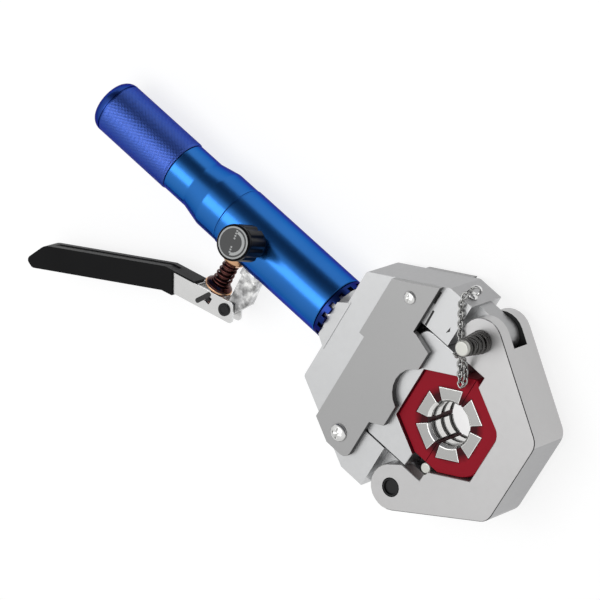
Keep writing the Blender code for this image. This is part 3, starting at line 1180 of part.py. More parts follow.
def smooth_route(points, count):
    """Points along one smooth curve through the route's own points."""
    ends = [Vector(points[0]) * 2 - Vector(points[1])] + [Vector(point) for point in points] \
        + [Vector(points[-1]) * 2 - Vector(points[-2])]
    route = []
    spans = len(points) - 1
    for index in range(count + 1):
        at = min(index * spans / count, spans - MERGE)
        span = int(at)
        t = at - span
        a, b, c, d = ends[span:span + 4]
        route.append(((b * 2) + (c - a) * t + (a * 2 - b * 5 + c * 4 - d) * t * t
                      + (b * 3 - a - c * 3 + d) * t ** 3) / 2)
    return route


def make_chain():
    wire("latch_chain", smooth_route(CHAIN_ROUTE, CHAIN_POINTS), CHAIN_RADIUS, BRIGHT_STEEL)


make_end_cap()
make_grip_sleeve()
make_neck_coupling()
make_bladder()
make_cylinder()
make_lock_ring()
make_check_valves()
make_ram()
make_punch()
make_dies()
make_lock_pin()
make_frame()
make_cover("front_cover", 1)
make_cover("rear_cover", -1)
make_yoke()
make_hinge_pin()
make_latch()
make_pump()
make_bracket()
make_lever()
make_rubber_grip()
make_fulcrum_pin()
make_release_valve()
make_eye_screw()
make_chain()
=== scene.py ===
"""Looks of a hand-held hydraulic hose crimper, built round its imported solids.

Metres, in the part's own frame: +X along the tube to the jaws, +Z out of the head's front,
and the pump lever at -Y. The tool lies on its back.
"""
import math

import bmesh
import bpy
from mathutils import Matrix, Vector


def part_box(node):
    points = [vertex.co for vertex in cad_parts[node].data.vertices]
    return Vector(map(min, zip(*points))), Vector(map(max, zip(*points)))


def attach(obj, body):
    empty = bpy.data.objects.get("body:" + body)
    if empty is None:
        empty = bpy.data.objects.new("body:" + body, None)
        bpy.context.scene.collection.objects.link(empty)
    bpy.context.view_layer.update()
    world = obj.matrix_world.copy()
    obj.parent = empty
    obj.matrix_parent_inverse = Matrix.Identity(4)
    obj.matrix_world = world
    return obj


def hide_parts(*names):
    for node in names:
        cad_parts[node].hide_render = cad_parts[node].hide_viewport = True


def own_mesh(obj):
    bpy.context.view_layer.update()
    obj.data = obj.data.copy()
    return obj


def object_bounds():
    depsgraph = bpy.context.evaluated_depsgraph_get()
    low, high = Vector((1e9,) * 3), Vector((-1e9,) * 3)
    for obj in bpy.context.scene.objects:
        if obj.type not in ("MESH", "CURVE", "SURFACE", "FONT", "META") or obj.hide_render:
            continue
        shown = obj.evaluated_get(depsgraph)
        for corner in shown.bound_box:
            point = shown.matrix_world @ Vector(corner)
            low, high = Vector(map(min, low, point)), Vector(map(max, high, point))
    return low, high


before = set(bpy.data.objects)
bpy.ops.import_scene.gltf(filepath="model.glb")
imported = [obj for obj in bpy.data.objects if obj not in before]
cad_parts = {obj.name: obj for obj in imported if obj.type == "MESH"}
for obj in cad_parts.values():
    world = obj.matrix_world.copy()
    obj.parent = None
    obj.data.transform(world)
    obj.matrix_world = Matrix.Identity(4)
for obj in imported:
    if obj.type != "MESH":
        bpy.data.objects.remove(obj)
CAD_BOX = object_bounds()

# Camera at the photograph's angle
CAMERA_PLACE = Vector((1.32509604, 1.52063704, 2.58234472))
CAMERA_RIGHT = Vector((0.69333481, 0.44853907, -0.56400976))
CAMERA_UP = Vector((-0.63250465, 0.75381119, -0.17806478))
CAMERA_LENS = 257.452

# Modelling
X_AXIS = Vector((1, 0, 0))
Y_AXIS = Vector((0, 1, 0))
Z_AXIS = Vector((0, 0, 1))
ROUND = 112                     # sides of the tube
FINE_ROUND = 96                 # sides of the knob and its dial
SMALL_ROUND = 48                # sides of pins, screws and nuts
MERGE = 0.000004                # points nearer than this are one
FLAT_WITHIN = math.radians(0.6)  # faces that bend less than this are one
HAIR = 0.00003                  # how far a printed mark stands off its face
GAP = 0.0002                    # between pieces that all but touch
FINE_EDGE = 0.00022
UPRIGHT = 0.3                   # the most that an upright face leans, as the Z of its normal

# Places that the pieces share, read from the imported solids


def low(node):
    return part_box(node)[0]


def high(node):
    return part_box(node)[1]


def middle(node):
    return (low(node) + high(node)) / 2


def radius_of(node):
    """The radius of a round node whose axis lies across X."""
    return (high(node).x - low(node).x) / 2


GRIP_RADIUS = high("end_cap").z
CAP_END = low("grip_sleeve").x
GRIP_END = high("grip_sleeve").x
TUBE_START = low("cylinder_body").x
TUBE_END = high("cylinder_body").x
TUBE_RADIUS = high("cylinder_body").z
HEAD_FACE = high("yoke").z
COVER_FACE = high("front_cover").z
LATCH = middle("latch_pin")
HINGE = middle("hinge_pin")
DIE_FACE = high("die_holder_front").z
LOCK_PIN_AHEAD = 0.0026
DIE_CENTRE = Vector((middle("die_lock_pin").x - LOCK_PIN_AHEAD, 0, 0))
PUMP_X = middle("seat_washer").x
FULCRUM = middle("fulcrum_pin")
KNOB_TILT = math.radians(14)
KNOB_AXIS = Vector((0, math.sin(KNOB_TILT), math.cos(KNOB_TILT)))
KNOB_CENTRE = Vector((middle("knob_dial").x, 0, 0))


# Shader arithmetic

class Signal:
    """A shader socket that takes part in plain arithmetic."""

    def __init__(self, finish, socket):
        self.finish = finish
        self.socket = socket

    def combine(self, operation, first, second):
        return self.finish.node("Math", {"operation": operation}, {0: first, 1: second})

    def __add__(self, other):
        return self.combine("ADD", self, other)

    def __radd__(self, other):
        return self.combine("ADD", other, self)

    def __sub__(self, other):
        return self.combine("SUBTRACT", self, other)

    def __rsub__(self, other):
        return self.combine("SUBTRACT", other, self)

    def __mul__(self, other):
        return self.combine("MULTIPLY", self, other)

    def __rmul__(self, other):
        return self.combine("MULTIPLY", other, self)

    def clear_of(self, level):
        return self.combine("GREATER_THAN", self, level)

    def wave(self):
        return self.finish.node("Math", {"operation": "SINE"}, {0: self})


class Finish:
    """A procedural material in the making, on Object coordinates."""

    def __init__(self, name, colour, roughness, metallic=0.0, owner=None):
        self.material = owner or bpy.data.materials.new(name)
        self.material.use_nodes = True
        self.tree = self.material.node_tree
        self.shader = self.tree.nodes.get("Principled BSDF")
        if self.shader:
            self.set("Base Color", (*colour, 1))
            self.set("Roughness", roughness)
            self.set("Metallic", metallic)

    def set(self, name, value):
        socket = self.shader.inputs[name]
        if isinstance(value, Signal):
            self.tree.links.new(value.socket, socket)
        else:
            socket.default_value = value

    def node(self, kind, settings=None, values=None, output=0):
        made = self.tree.nodes.new("ShaderNode" + kind)
        for key, value in (settings or {}).items():
            if key == "stops":
                ramp = made.color_ramp
                while len(ramp.elements) < len(value):
                    ramp.elements.new(0.5)
                for element, (position, colour) in zip(ramp.elements, value):
                    element.position = position
                    element.color = (*colour, 1)
            else:
                setattr(made, key, value)
        for key, value in (values or {}).items():
            socket = made.inputs[key]
            if isinstance(value, Signal):
                self.tree.links.new(value.socket, socket)
            else:
                socket.default_value = value
        return Signal(self, made.outputs[output])

    def place(self, stretch=(1, 1, 1)):
        """Object coordinates, stretched along the axes."""
        point = self.node("TexCoord", output="Object")
        return self.node("Mapping", values={"Vector": point, "Scale": stretch})

    def along(self, axis):
        """One Object coordinate as a value in metres."""
        return self.node("SeparateXYZ", values={0: self.place()}, output="XYZ".index(axis))

    def noise(self, scale, detail=3.0, stretch=(1, 1, 1), roughness=0.5):
        return self.node("TexNoise", values={"Vector": self.place(stretch), "Scale": scale,
                                             "Detail": detail, "Roughness": roughness})

    def ramp(self, value, stops):
        return self.node("ValToRGB", {"stops": stops}, {0: value})

    def mix(self, factor, first, second):
        first = first if isinstance(first, Signal) else (*first, 1)
        second = second if isinstance(second, Signal) else (*second, 1)
        return self.node("Mix", {"data_type": "RGBA"}, {0: factor, 6: first, 7: second}, output=2)

    def bump(self, height, distance, strength=1.0, base=None):
        values = {"Height": height, "Distance": distance, "Strength": strength}
        if base:
            values["Normal"] = base
        return self.node("Bump", values=values)


# Finishes

KNURL_PITCH = 0.0016
SMOOTH_CAP = 0.0106             # how much of the end cap the knurl leaves smooth
# Painted shade on the holder's webs: full from the first radius inwards, gone by the second.
WEB_FULL_SHADE_RADIUS = 0.0235
WEB_SHADE_END_RADIUS = 0.0300


def spread(noise, level, amount):
    """A value round a level that follows a noise between 0 and 1."""
    return noise * amount + (level - amount / 2)


def anodised(name, deep, light, knurled=False):
    """Dyed anodised aluminium with turning marks round the tube, or with a fine diamond knurl whose valleys
    are darker as painted shade.
    """
    made = Finish(name, light, 0.3, 1.0)
    cloud = made.noise(scale=18, detail=4)
    lathe = made.noise(scale=1, detail=2, stretch=(420, 3, 3))
    made.set("Base Color", made.mix(cloud, deep, light))
    made.set("Coat Weight", 0.10)
    made.set("Coat Roughness", 0.16)
    made.set("Specular Tint", (0.10, 0.10, 0.36, 1))
    made.set("Roughness", spread(lathe, level=0.30 if knurled else 0.26, amount=0.05))
    turning = made.bump(lathe, distance=0.000004, strength=0.25)
    if not knurled:
        made.set("Normal", turning)
        return made.material
    around = made.node("Math", {"operation": "ARCTAN2"}, {0: made.along("Y"), 1: made.along("Z")})
    turns = around * (GRIP_RADIUS / KNURL_PITCH * math.tau)
    lengths = made.along("X") * (math.tau / KNURL_PITCH)
    diamonds = ((turns + lengths).wave() + (turns - lengths).wave()) * 0.25 + 0.5
    knurl = diamonds * made.along("X").clear_of(low("end_cap").x + SMOOTH_CAP)
    made.set("Normal", made.bump(knurl, distance=0.00022, strength=0.8, base=turning))
    # The knurl's valleys take the deep colour: painted shade.
    made.set("Base Color", made.mix(knurl, deep, light))
    return made.material


def satin_metal(name, colour, roughness, metallic=0.9, grain=0.05, fine=(260, 260, 260)):
    """Plated or brushed metal with soft clouds and a fine grain."""
    made = Finish(name, colour, roughness, metallic)
    cloud = made.noise(scale=14, detail=5)
    grit = made.noise(scale=1, detail=2, stretch=fine)
    darker = tuple(part * 0.90 for part in colour)
    made.set("Base Color", made.mix(spread(cloud, level=0.5, amount=0.8), darker, colour))
    made.set("Roughness", spread(grit, roughness, amount=0.12))
    made.set("Normal", made.bump(grit, distance=0.00002, strength=grain))
    return made.material


def bright_metal(name, colour, roughness, dents=0.0, size=60):
    """Polished plated metal, with shallow dents where their depth is given."""
    made = Finish(name, colour, roughness, 1.0)
    cloud = made.noise(scale=30)
    darker = tuple(part * 0.82 for part in colour)
    made.set("Base Color", made.mix(cloud, darker, colour))
    made.set("Roughness", spread(cloud, roughness, amount=0.08))
    if dents:
        wobble = made.noise(scale=size, detail=2)
        made.set("Normal", made.bump(wobble, distance=dents, strength=0.9))
    return made.material


def crumpled_chrome(name):
    """Rough-cast chrome plating with pale and dark patches that are painted reflections."""
    made = Finish(name, (0.7, 0.7, 0.7), 0.22, 0.95)
    waves_and_painted_reflections = made.noise(scale=135, roughness=0.55)
    # Pale and dark patches in the chrome's colour: painted reflections.
    made.set("Base Color", made.ramp(waves_and_painted_reflections, [(0.34, (0.20, 0.20, 0.20)), (0.49, (0.50, 0.50, 0.50)),
                                               (0.64, (0.84, 0.84, 0.83))]))
    made.set("Roughness", spread(waves_and_painted_reflections, level=0.24, amount=0.2))
    made.set("Normal", made.bump(waves_and_painted_reflections, distance=0.0011, strength=0.6))
    return made.material


def painted(name, colour, roughness):
    """Sprayed paint with a faint orange peel and a slightly worn tone."""
    made = Finish(name, colour, roughness, 0.0)
    peel = made.noise(scale=420, detail=2)
    cloud = made.noise(scale=22, detail=4)
    darker = tuple(part * 0.72 for part in colour)
    made.set("Base Color", made.mix(cloud, darker, colour))
    made.set("Coat Weight", 0.25)
    made.set("Coat Roughness", 0.3)
    made.set("Roughness", spread(cloud, roughness, amount=0.1))
    made.set("Normal", made.bump(peel, distance=0.00004, strength=0.35))
    return made.material


def holder_paint(name, colour, deep, roughness):
    """Red paint, darkened towards the dies' middle as painted shade on the webs between the dies."""
    made = Finish(name, colour, roughness, 0.0)
    east = made.along("X") - DIE_CENTRE.x
    north = made.along("Y")
    reach = made.node("Math", {"operation": "SQRT"}, {0: east * east + north * north})
    cloud = made.noise(scale=160)
    out_of_painted_shade = (reach - WEB_FULL_SHADE_RADIUS) * (1 / (WEB_SHADE_END_RADIUS - WEB_FULL_SHADE_RADIUS))
    # The base colour darkens towards the dies' middle: painted shade on the webs.
    made.set("Base Color", made.ramp(out_of_painted_shade + cloud * 0.5 - 0.25, [(0.0, deep), (1.0, colour)]))
    made.set("Specular IOR Level", 0.12)
    made.set("Roughness", spread(cloud, roughness, amount=0.12))
    made.set("Normal", made.bump(made.noise(scale=420, detail=2), distance=0.00003, strength=0.35))
    return made.material


def moulded(name, colour, roughness, pebble=900, depth=0.00003, shine=0.5):
    """Moulded rubber or plastic with a fine pebble skin."""
    made = Finish(name, colour, roughness, 0.0)
    made.set("Specular IOR Level", shine)
    skin = made.noise(scale=pebble, detail=2)
    cloud = made.noise(scale=25)
    paler = tuple(min(part * 1.35 + 0.002, 1) for part in colour)
    made.set("Base Color", made.mix(cloud, colour, paler))
    made.set("Roughness", spread(cloud, roughness, amount=0.12))
    made.set("Normal", made.bump(skin, distance=depth, strength=0.6))
    return made.material


# Each metal, paint and moulding starts with its name, its colour and its roughness
blue = anodised("blue_anodised", deep=(0.018, 0.120, 0.42), light=(0.030, 0.185, 0.56))
knurled_blue = anodised("blue_anodised_knurl", deep=(0.022, 0.062, 0.30), light=(0.080, 0.150, 0.55),
                        knurled=True)
dark_blue = anodised("dark_blue_anodised", deep=(0.006, 0.018, 0.11), light=(0.012, 0.035, 0.2))
nickel = satin_metal("satin_nickel", (0.60, 0.605, 0.61), 0.36)
warm_nickel = satin_metal("satin_nickel_of_yoke", (0.545, 0.54, 0.54), 0.36)
# A darker copy of the nickel for side faces: painted shade, with a real ground grain.
ground_and_shaded_nickel = satin_metal("ground_nickel_with_painted_shade", (0.43, 0.43, 0.435), 0.42, grain=0.25,
                          fine=(900, 900, 160))
grey_plate = satin_metal("grey_coated_plate", (0.40, 0.40, 0.40), 0.42, metallic=0.6)
# Near-black for edges, rims and slots where shade falls: painted shade.
painted_shade_edge = satin_metal("painted_shade_on_edges", (0.035, 0.035, 0.035), 0.5, metallic=0.4)
red = holder_paint("red_painted_holder", (0.33, 0.007, 0.020), deep=(0.05, 0.003, 0.006), roughness=0.36)
# Dark red on the punch's seat wall: painted shade in the seat.
seat_shade_red = painted("painted_shade_red_in_the_seat", (0.12, 0.008, 0.016), 0.5)
zinc = satin_metal("light_zinc_die", (0.425, 0.425, 0.415), 0.38, metallic=0.75, grain=0.3,
                   fine=(700, 700, 90))
# Near-black groove floors of the dies: painted shade.
groove_painted_shade = satin_metal("painted_shade_in_grooves", (0.022, 0.027, 0.025), 0.5, metallic=0.6)
# Near-white lands and front rims of the dies: painted highlight.
land_painted_highlight = satin_metal("painted_highlight_on_lands", (0.92, 0.92, 0.90), 0.26, grain=0.2,
                          fine=(700, 700, 90))
black_oxide = satin_metal("black_oxide_steel", (0.012, 0.012, 0.013), 0.34, metallic=0.5)
bright = bright_metal("bright_plated_steel", (0.78, 0.78, 0.77), 0.16)
cap_grey = satin_metal("turned_cap_steel", (0.60, 0.60, 0.56), 0.4, metallic=0.8)
chrome = crumpled_chrome("wavy_chrome_steel")
lever_zinc = bright_metal("zinc_pressed_sheet", (0.74, 0.74, 0.735), 0.24, dents=0.0003, size=70)
copper = bright_metal("copper_washer", (0.72, 0.42, 0.24), 0.24)
brown_spring = bright_metal("brown_oiled_spring_wire", (0.085, 0.030, 0.026), 0.22)
brown_rod = bright_metal("brown_oiled_rod", (0.13, 0.055, 0.048), 0.34)
grey_spring = bright_metal("dark_latch_spring_wire", (0.10, 0.097, 0.094), 0.20)
chain_steel = bright_metal("plated_chain_wire", (0.40, 0.40, 0.39), 0.20)
inner_steel = bright_metal("ground_inner_steel", (0.62, 0.62, 0.61), 0.22)
rubber = moulded("black_dipped_rubber", (0.0050, 0.0050, 0.0054), 0.38, shine=0.08)
seal_rubber = moulded("matte_seal_rubber", (0.02, 0.02, 0.02), 0.6)
plastic = moulded("black_moulded_plastic", (0.002, 0.002, 0.0025), 0.32, shine=0.06)
dial_grey = moulded("dark_grey_dial_print", (0.029, 0.030, 0.031), 0.5, depth=0.00001)
mark_grey = moulded("pale_dial_print", (0.36, 0.37, 0.37), 0.5, depth=0.00001)
# Black print, also used as painted shade for slots and along edges.
ink_and_painted_shade = moulded("black_ink_and_painted_shade", (0.01, 0.01, 0.01), 0.6, depth=0.00001)


# Pieces and the operations that shape them

def as_object(name, shape):
    """A new object in the scene that takes over the shape."""
    mesh = bpy.data.meshes.new(name)
    shape.to_mesh(mesh)
    shape.free()
    made = bpy.data.objects.new(name, mesh)
    bpy.context.scene.collection.objects.link(made)
    return made


def piece(name, shape, material, body, replaced=(), smooth=32):
    """A finished mesh that rides on a body, and stands for the nodes that it replaces."""
    made = as_object(name, shape)
    for one in material if isinstance(material, tuple) else (material,):
        made.data.materials.append(one)
    made.data.shade_smooth()
    made.data.set_sharp_from_angle(angle=math.radians(smooth))
    evened = made.modifiers.new("evened_normals", "WEIGHTED_NORMAL")
    evened.keep_sharp = True
    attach(made, body)
    if replaced:
        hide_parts(*replaced)
    return made


def facing(origin, axis):
    """The matrix that puts local Z along axis at origin."""
    turn = Z_AXIS.rotation_difference(Vector(axis)).to_matrix().to_4x4()
    return Matrix.Translation(Vector(origin)) @ turn


def tidy(shape):
    bmesh.ops.remove_doubles(shape, verts=shape.verts, dist=MERGE)
    bmesh.ops.recalc_face_normals(shape, faces=shape.faces)
    return shape


def soften(shape, width, segments=2, angle=38):
    """Bevels the edges that turn by more than an angle, in degrees."""
    sharp = [edge for edge in shape.edges
             if len(edge.link_faces) == 2 and edge.calc_face_angle(0) > math.radians(angle)]
    bmesh.ops.bevel(shape, geom=sharp, offset=width, offset_type="OFFSET", segments=segments,
                    profile=0.5, affect="EDGES", material=-1, clamp_overlap=True)
    return shape


def eased(profile, radius, steps=3):
    """A profile whose corners between its ends are rounded, as far as their sides allow."""
    most = 0.45                 # of the shorter side
    result = [profile[0]]
    for before, here, after in zip(profile, profile[1:], profile[2:]):
        corner = Vector(here)
        back = Vector(before) - corner
        ahead = Vector(after) - corner
        reach = min(radius, back.length * most, ahead.length * most)
        start = corner + back.normalized() * reach
        end = corner + ahead.normalized() * reach
        for step in range(steps + 1):
            share = step / steps
            point = start * (1 - share) ** 2 + corner * 2 * share * (1 - share) + end * share ** 2
            result.append((point.x, point.y))
    return result + [profile[-1]]


def turned(profile, origin, axis, steps=ROUND, ring=False):
    """A shape turned round axis from (radius, height) points, closed on the axis or as a ring."""
    shape = bmesh.new()
    verts = [shape.verts.new((radius, 0, height)) for radius, height in profile]
    edges = [shape.edges.new(pair) for pair in zip(verts, verts[1:])]
    if ring:
        edges.append(shape.edges.new((verts[-1], verts[0])))
    bmesh.ops.spin(shape, geom=verts + edges, cent=(0, 0, 0), axis=(0, 0, 1), angle=math.tau,
                   steps=steps, use_merge=True)
    tidy(shape)
    shape.transform(facing(origin, axis))
    return shape


def rod_profile(radius, start, end, edge):
    """The profile of a solid round from start to end, with chamfered edges."""
    return [(0, start), (radius - edge, start), (radius, start + edge), (radius, end - edge),
            (radius - edge, end), (0, end)]


def slab(outline, bottom, top, matrix=Matrix.Identity(4)):
    """A flat outline with a thickness."""
    shape = bmesh.new()
    face = shape.faces.new([shape.verts.new((x, y, bottom)) for x, y in outline])
    grown = bmesh.ops.extrude_face_region(shape, geom=[face])["geom"]
    raised = [item for item in grown if isinstance(item, bmesh.types.BMVert)]
    bmesh.ops.translate(shape, verts=raised, vec=(0, 0, top - bottom))
    bmesh.ops.recalc_face_normals(shape, faces=shape.faces)
    shape.transform(matrix)
    return shape


def wire(points, radius, cyclic=False, resolution=5):
    """A round wire along points."""
    curve = bpy.data.curves.new("wire_guide", "CURVE")
    curve.dimensions = "3D"
    curve.bevel_depth = radius
    curve.bevel_resolution = resolution
    curve.use_fill_caps = not cyclic
    spline = curve.splines.new("POLY")
    spline.points.add(len(points) - 1)
    for point, at in zip(spline.points, points):
        point.co = (*at, 1)
    spline.use_cyclic_u = cyclic
    guide = bpy.data.objects.new("wire_guide", curve)
    bpy.context.scene.collection.objects.link(guide)
    bpy.context.view_layer.update()
    graph = bpy.context.evaluated_depsgraph_get()
    shape = bmesh.new()
    shape.from_mesh(guide.evaluated_get(graph).to_mesh())
    bpy.data.objects.remove(guide, do_unlink=True)
    bpy.data.curves.remove(curve)
    return tidy(shape)


def joined(shapes):
    """Several shapes as one mesh of separate bodies."""
    whole = bmesh.new()
    for shape in shapes:
        mesh = bpy.data.meshes.new("joining")
        shape.to_mesh(mesh)
        shape.free()
        whole.from_mesh(mesh)
        bpy.data.meshes.remove(mesh)
    return whole


def helix(origin, axis, length, radius_start, radius_end, wire_radius, turns, steps=26):
    """A compression spring with closed ends, from origin along axis."""
    closed = 0.6                # turns at each end that don't climb
    matrix = facing(origin, axis)
    points = []
    count = int(turns * steps)
    for index in range(count + 1):
        share = index / count
        angle = share * turns * math.tau
        lift = min(max((share * turns - closed) / (turns - 2 * closed), 0), 1)
        radius = radius_start + (radius_end - radius_start) * lift
        height = wire_radius + (length - 2 * wire_radius) * lift
        points.append(matrix @ Vector((radius * math.cos(angle), radius * math.sin(angle), height)))
    return wire(points, wire_radius)


def dressed(node, width=FINE_EDGE, segments=2, angle=38):
    """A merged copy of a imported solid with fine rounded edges."""
    shape = bmesh.new()
    shape.from_mesh(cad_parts[node].data)
    bmesh.ops.remove_doubles(shape, verts=shape.verts, dist=MERGE)
    bmesh.ops.dissolve_limit(shape, angle_limit=FLAT_WITHIN, use_dissolve_boundaries=False,
                             verts=shape.verts, edges=shape.edges)
    if width:
        soften(shape, width, segments, angle)
    return shape


def paint_faces(shape, index, chosen):
    """Gives a material index to the faces that chosen(normal, centre) picks."""
    shape.normal_update()
    for face in shape.faces:
        if chosen(face.normal, face.calc_center_median()):
            face.material_index = index
    return shape


# Camera first, then the chain

def aim_camera():
    data = bpy.data.cameras.new("product_camera")
    data.sensor_width = 36
    data.lens = CAMERA_LENS
    data.clip_end = 30
    camera = bpy.data.objects.new("product_camera", data)
    turn = Matrix((CAMERA_RIGHT, CAMERA_UP, CAMERA_RIGHT.cross(CAMERA_UP))).transposed()
    camera.matrix_world = Matrix.Translation(CAMERA_PLACE) @ turn.to_4x4()
    bpy.context.scene.collection.objects.link(camera)
    bpy.context.scene.camera = camera


aim_camera()

CHAIN_ROUTE = [(0.3380, 0.0975, 0.0134), (0.3381, 0.0962, 0.0190), (0.3382, 0.0925, 0.0226),
               (0.3387, 0.0878, 0.0233), (0.3401, 0.0835, 0.0229), (0.3430, 0.0785, 0.0227),
               (0.3465, 0.0730, 0.0227), (0.3505, 0.0665, 0.0227), (0.3547, 0.0600, 0.0227),
               (0.3590, 0.0535, 0.0227), (0.3633, 0.0466, 0.0227), (0.3680, 0.0395, 0.0227),
               (0.3712, 0.0352, 0.0227), (0.3738, 0.0350, 0.0227), (0.3738, 0.0388, 0.0228),
               (0.3712, 0.0448, 0.0235), (0.3680, 0.0518, 0.0262), (0.3655, 0.0576, 0.0322),
               (0.3642, 0.0606, 0.0390), (0.3640, 0.0620, 0.0435)]
LINK_LENGTH = 0.0066
LINK_WIDTH = 0.0049
LINK_WIRE = 0.00072
LINK_BEND_STEPS = 8
FIRST_LINK_SHARE = 0.6          # of a link, from the eye to the middle of the first link
LINK_TWIST = 8                  # degrees
ROUTE_STEPS = 240


def smooth_route(points, count):
    """Points along one smooth curve through the route's own points."""
    places = [Vector(point) for point in points]
    ends = [places[0] * 2 - places[1]] + places + [places[-1] * 2 - places[-2]]
    route = []
    spans = len(points) - 1
    for index in range(count + 1):
        at = min(index * spans / count, spans - MERGE)
        span = int(at)
        t = at - span
        a, b, c, d = ends[span:span + 4]
        route.append(((b * 2) + (c - a) * t + (a * 2 - b * 5 + c * 4 - d) * t * t
                      + (b * 3 - a - c * 3 + d) * t ** 3) / 2)
    return route


def route_length(route):
    return sum((b - a).length for a, b in zip(route, route[1:]))


def evenly(route, pitch, first):
    """Places and directions along a route, a pitch apart after the first."""
    stations = []
    travelled = 0.0
    due = first
    for a, b in zip(route, route[1:]):
        step = (b - a).length
        while travelled + step >= due:
            stations.append((a.lerp(b, (due - travelled) / step), (b - a).normalized()))
            due += pitch
        travelled += step
    return stations


def link_outline():
    """The centre line of one oval link."""
    half = LINK_LENGTH / 2 - LINK_WIDTH / 2
    bend = LINK_WIDTH / 2 - LINK_WIRE
    outline = []
    for centre, start in ((half, -90), (-half, 90)):
        for step in range(LINK_BEND_STEPS + 1):
            angle = math.radians(start + 180 * step / LINK_BEND_STEPS)
            outline.append((centre + bend * math.cos(angle), bend * math.sin(angle), 0))
    return outline


def make_chain():
    """Oval wire links along the route, each turned a quarter against the last."""
    pattern = wire(link_outline(), LINK_WIRE, cyclic=True, resolution=3)
    route = smooth_route(CHAIN_ROUTE, ROUTE_STEPS)
    pitch = LINK_LENGTH - 4 * LINK_WIRE
    links = []
    for number, (place, direction) in enumerate(evenly(route, pitch, LINK_LENGTH * FIRST_LINK_SHARE)):
        side = direction.cross(Z_AXIS if abs(direction.z) < 0.9 else X_AXIS).normalized()
        lie = Matrix((direction, side, side.cross(direction))).transposed().to_4x4()
        quarter = Matrix.Rotation(math.radians(LINK_TWIST + 90 * (number % 2)), 4, "X")
        link = pattern.copy()
        link.transform(Matrix.Translation(place) @ lie @ quarter)
        links.append(link)
    pattern.free()
    made = piece("chain_links", joined(links), chain_steel, "frame", ["latch_chain"],
                 smooth=60)
    round(route_length(route), 4)


make_chain()


# Blue tube: cap, grip, neck, cylinder and ring

CAP_FILLET = 0.009
CAP_GROOVE_DEPTH = 0.0006
CAP_GROOVE_FLOOR = 0.0010
CAP_GROOVE_SLOPE = 0.0002
GRIP_WALL = 0.003
GRIP_LIP = ((0, 0.0018), (0.0005, 0.0012), (0.0008, 0))     # inwards, and back from the end
NECK_RADIUS = 0.0208
NECK_LENGTH = 0.0223
NECK_FOOT = (0.0006, 0.0003, 0.0010)                        # inwards, its start and its end
CONE_LENGTH = 0.017
CONE_EASING = 0.0009
COLLAR_GAP = 0.0003
SEAM_DEPTH = 0.0007
SEAM_WIDTH = 0.0010
TUBE_EDGE = 0.0005
RING_BORE = 0.0214
RING_EDGE = 0.0008
RING_EASING = 0.0003
RING_TEETH = 16
TOOTH_EDGE = 0.00025
TOOTH_SHARE = 0.58
TOOTH_STEPS = 6


def make_end_cap():
    """The domed cap, with a turned groove behind the dome."""
    end = low("end_cap").x
    steps = 14
    turns = [math.radians(90 * step / steps) for step in range(steps + 1)]
    centre_radius = GRIP_RADIUS - CAP_FILLET
    dome_end = end + CAP_FILLET
    dome = [(centre_radius + CAP_FILLET * math.sin(turn), dome_end - CAP_FILLET * math.cos(turn))
            for turn in turns]
    floor_radius = GRIP_RADIUS - CAP_GROOVE_DEPTH
    floor_start = dome_end + CAP_GROOVE_SLOPE
    floor_end = floor_start + CAP_GROOVE_FLOOR
    profile = [(0, end)] + dome + [(floor_radius, floor_start), (floor_radius, floor_end),
                                   (GRIP_RADIUS, floor_end + CAP_GROOVE_SLOPE),
                                   (GRIP_RADIUS, CAP_END - HAIR), (0, CAP_END - HAIR)]
    piece("grip_end_cap", turned(profile, (0, 0, 0), X_AXIS), knurled_blue, "frame",
          ["end_cap"])


def make_grip():
    inner = GRIP_RADIUS - GRIP_WALL
    lip = [(GRIP_RADIUS - inwards, GRIP_END - back) for inwards, back in GRIP_LIP]
    profile = [(GRIP_RADIUS, CAP_END)] + lip + [(inner, GRIP_END), (inner, CAP_END)]
    piece("knurled_grip", turned(profile, (0, 0, 0), X_AXIS, ring=True), knurled_blue, "frame",
          ["grip_sleeve"])


def make_neck():
    """The straight neck, the cone and the collar."""
    radius = high("neck_coupling").z
    neck_end = GRIP_END + NECK_LENGTH
    collar_end = TUBE_START - COLLAR_GAP
    foot_step, foot_start, foot_end = NECK_FOOT
    profile = [(0, GRIP_END), (NECK_RADIUS - foot_step, GRIP_END + foot_start),
               (NECK_RADIUS, GRIP_END + foot_end), (NECK_RADIUS, neck_end),
               (radius, neck_end + CONE_LENGTH), (radius, collar_end - TUBE_EDGE),
               (radius - TUBE_EDGE, collar_end), (0, collar_end)]
    piece("neck_and_collar", turned(eased(profile, CONE_EASING), (0, 0, 0), X_AXIS), blue, "frame",
          ["neck_coupling"])


def make_cylinder():
    """The main tube, with a seam turned in beside the collar."""
    floor_radius = TUBE_RADIUS - SEAM_DEPTH
    seam_end = TUBE_START + SEAM_WIDTH
    profile = [(0, TUBE_START), (floor_radius, TUBE_START), (floor_radius, seam_end),
               (TUBE_RADIUS - 0.0003, seam_end + 0.0001), (TUBE_RADIUS, seam_end + 0.0004),
               (TUBE_RADIUS, TUBE_END - TUBE_EDGE), (TUBE_RADIUS - TUBE_EDGE, TUBE_END), (0, TUBE_END)]
    piece("main_cylinder", turned(profile, (0, 0, 0), X_AXIS, steps=144), blue, "frame",
          ["cylinder_body"])


def on_circle(radius, angles):
    return [(radius * math.cos(angle), radius * math.sin(angle)) for angle in angles]


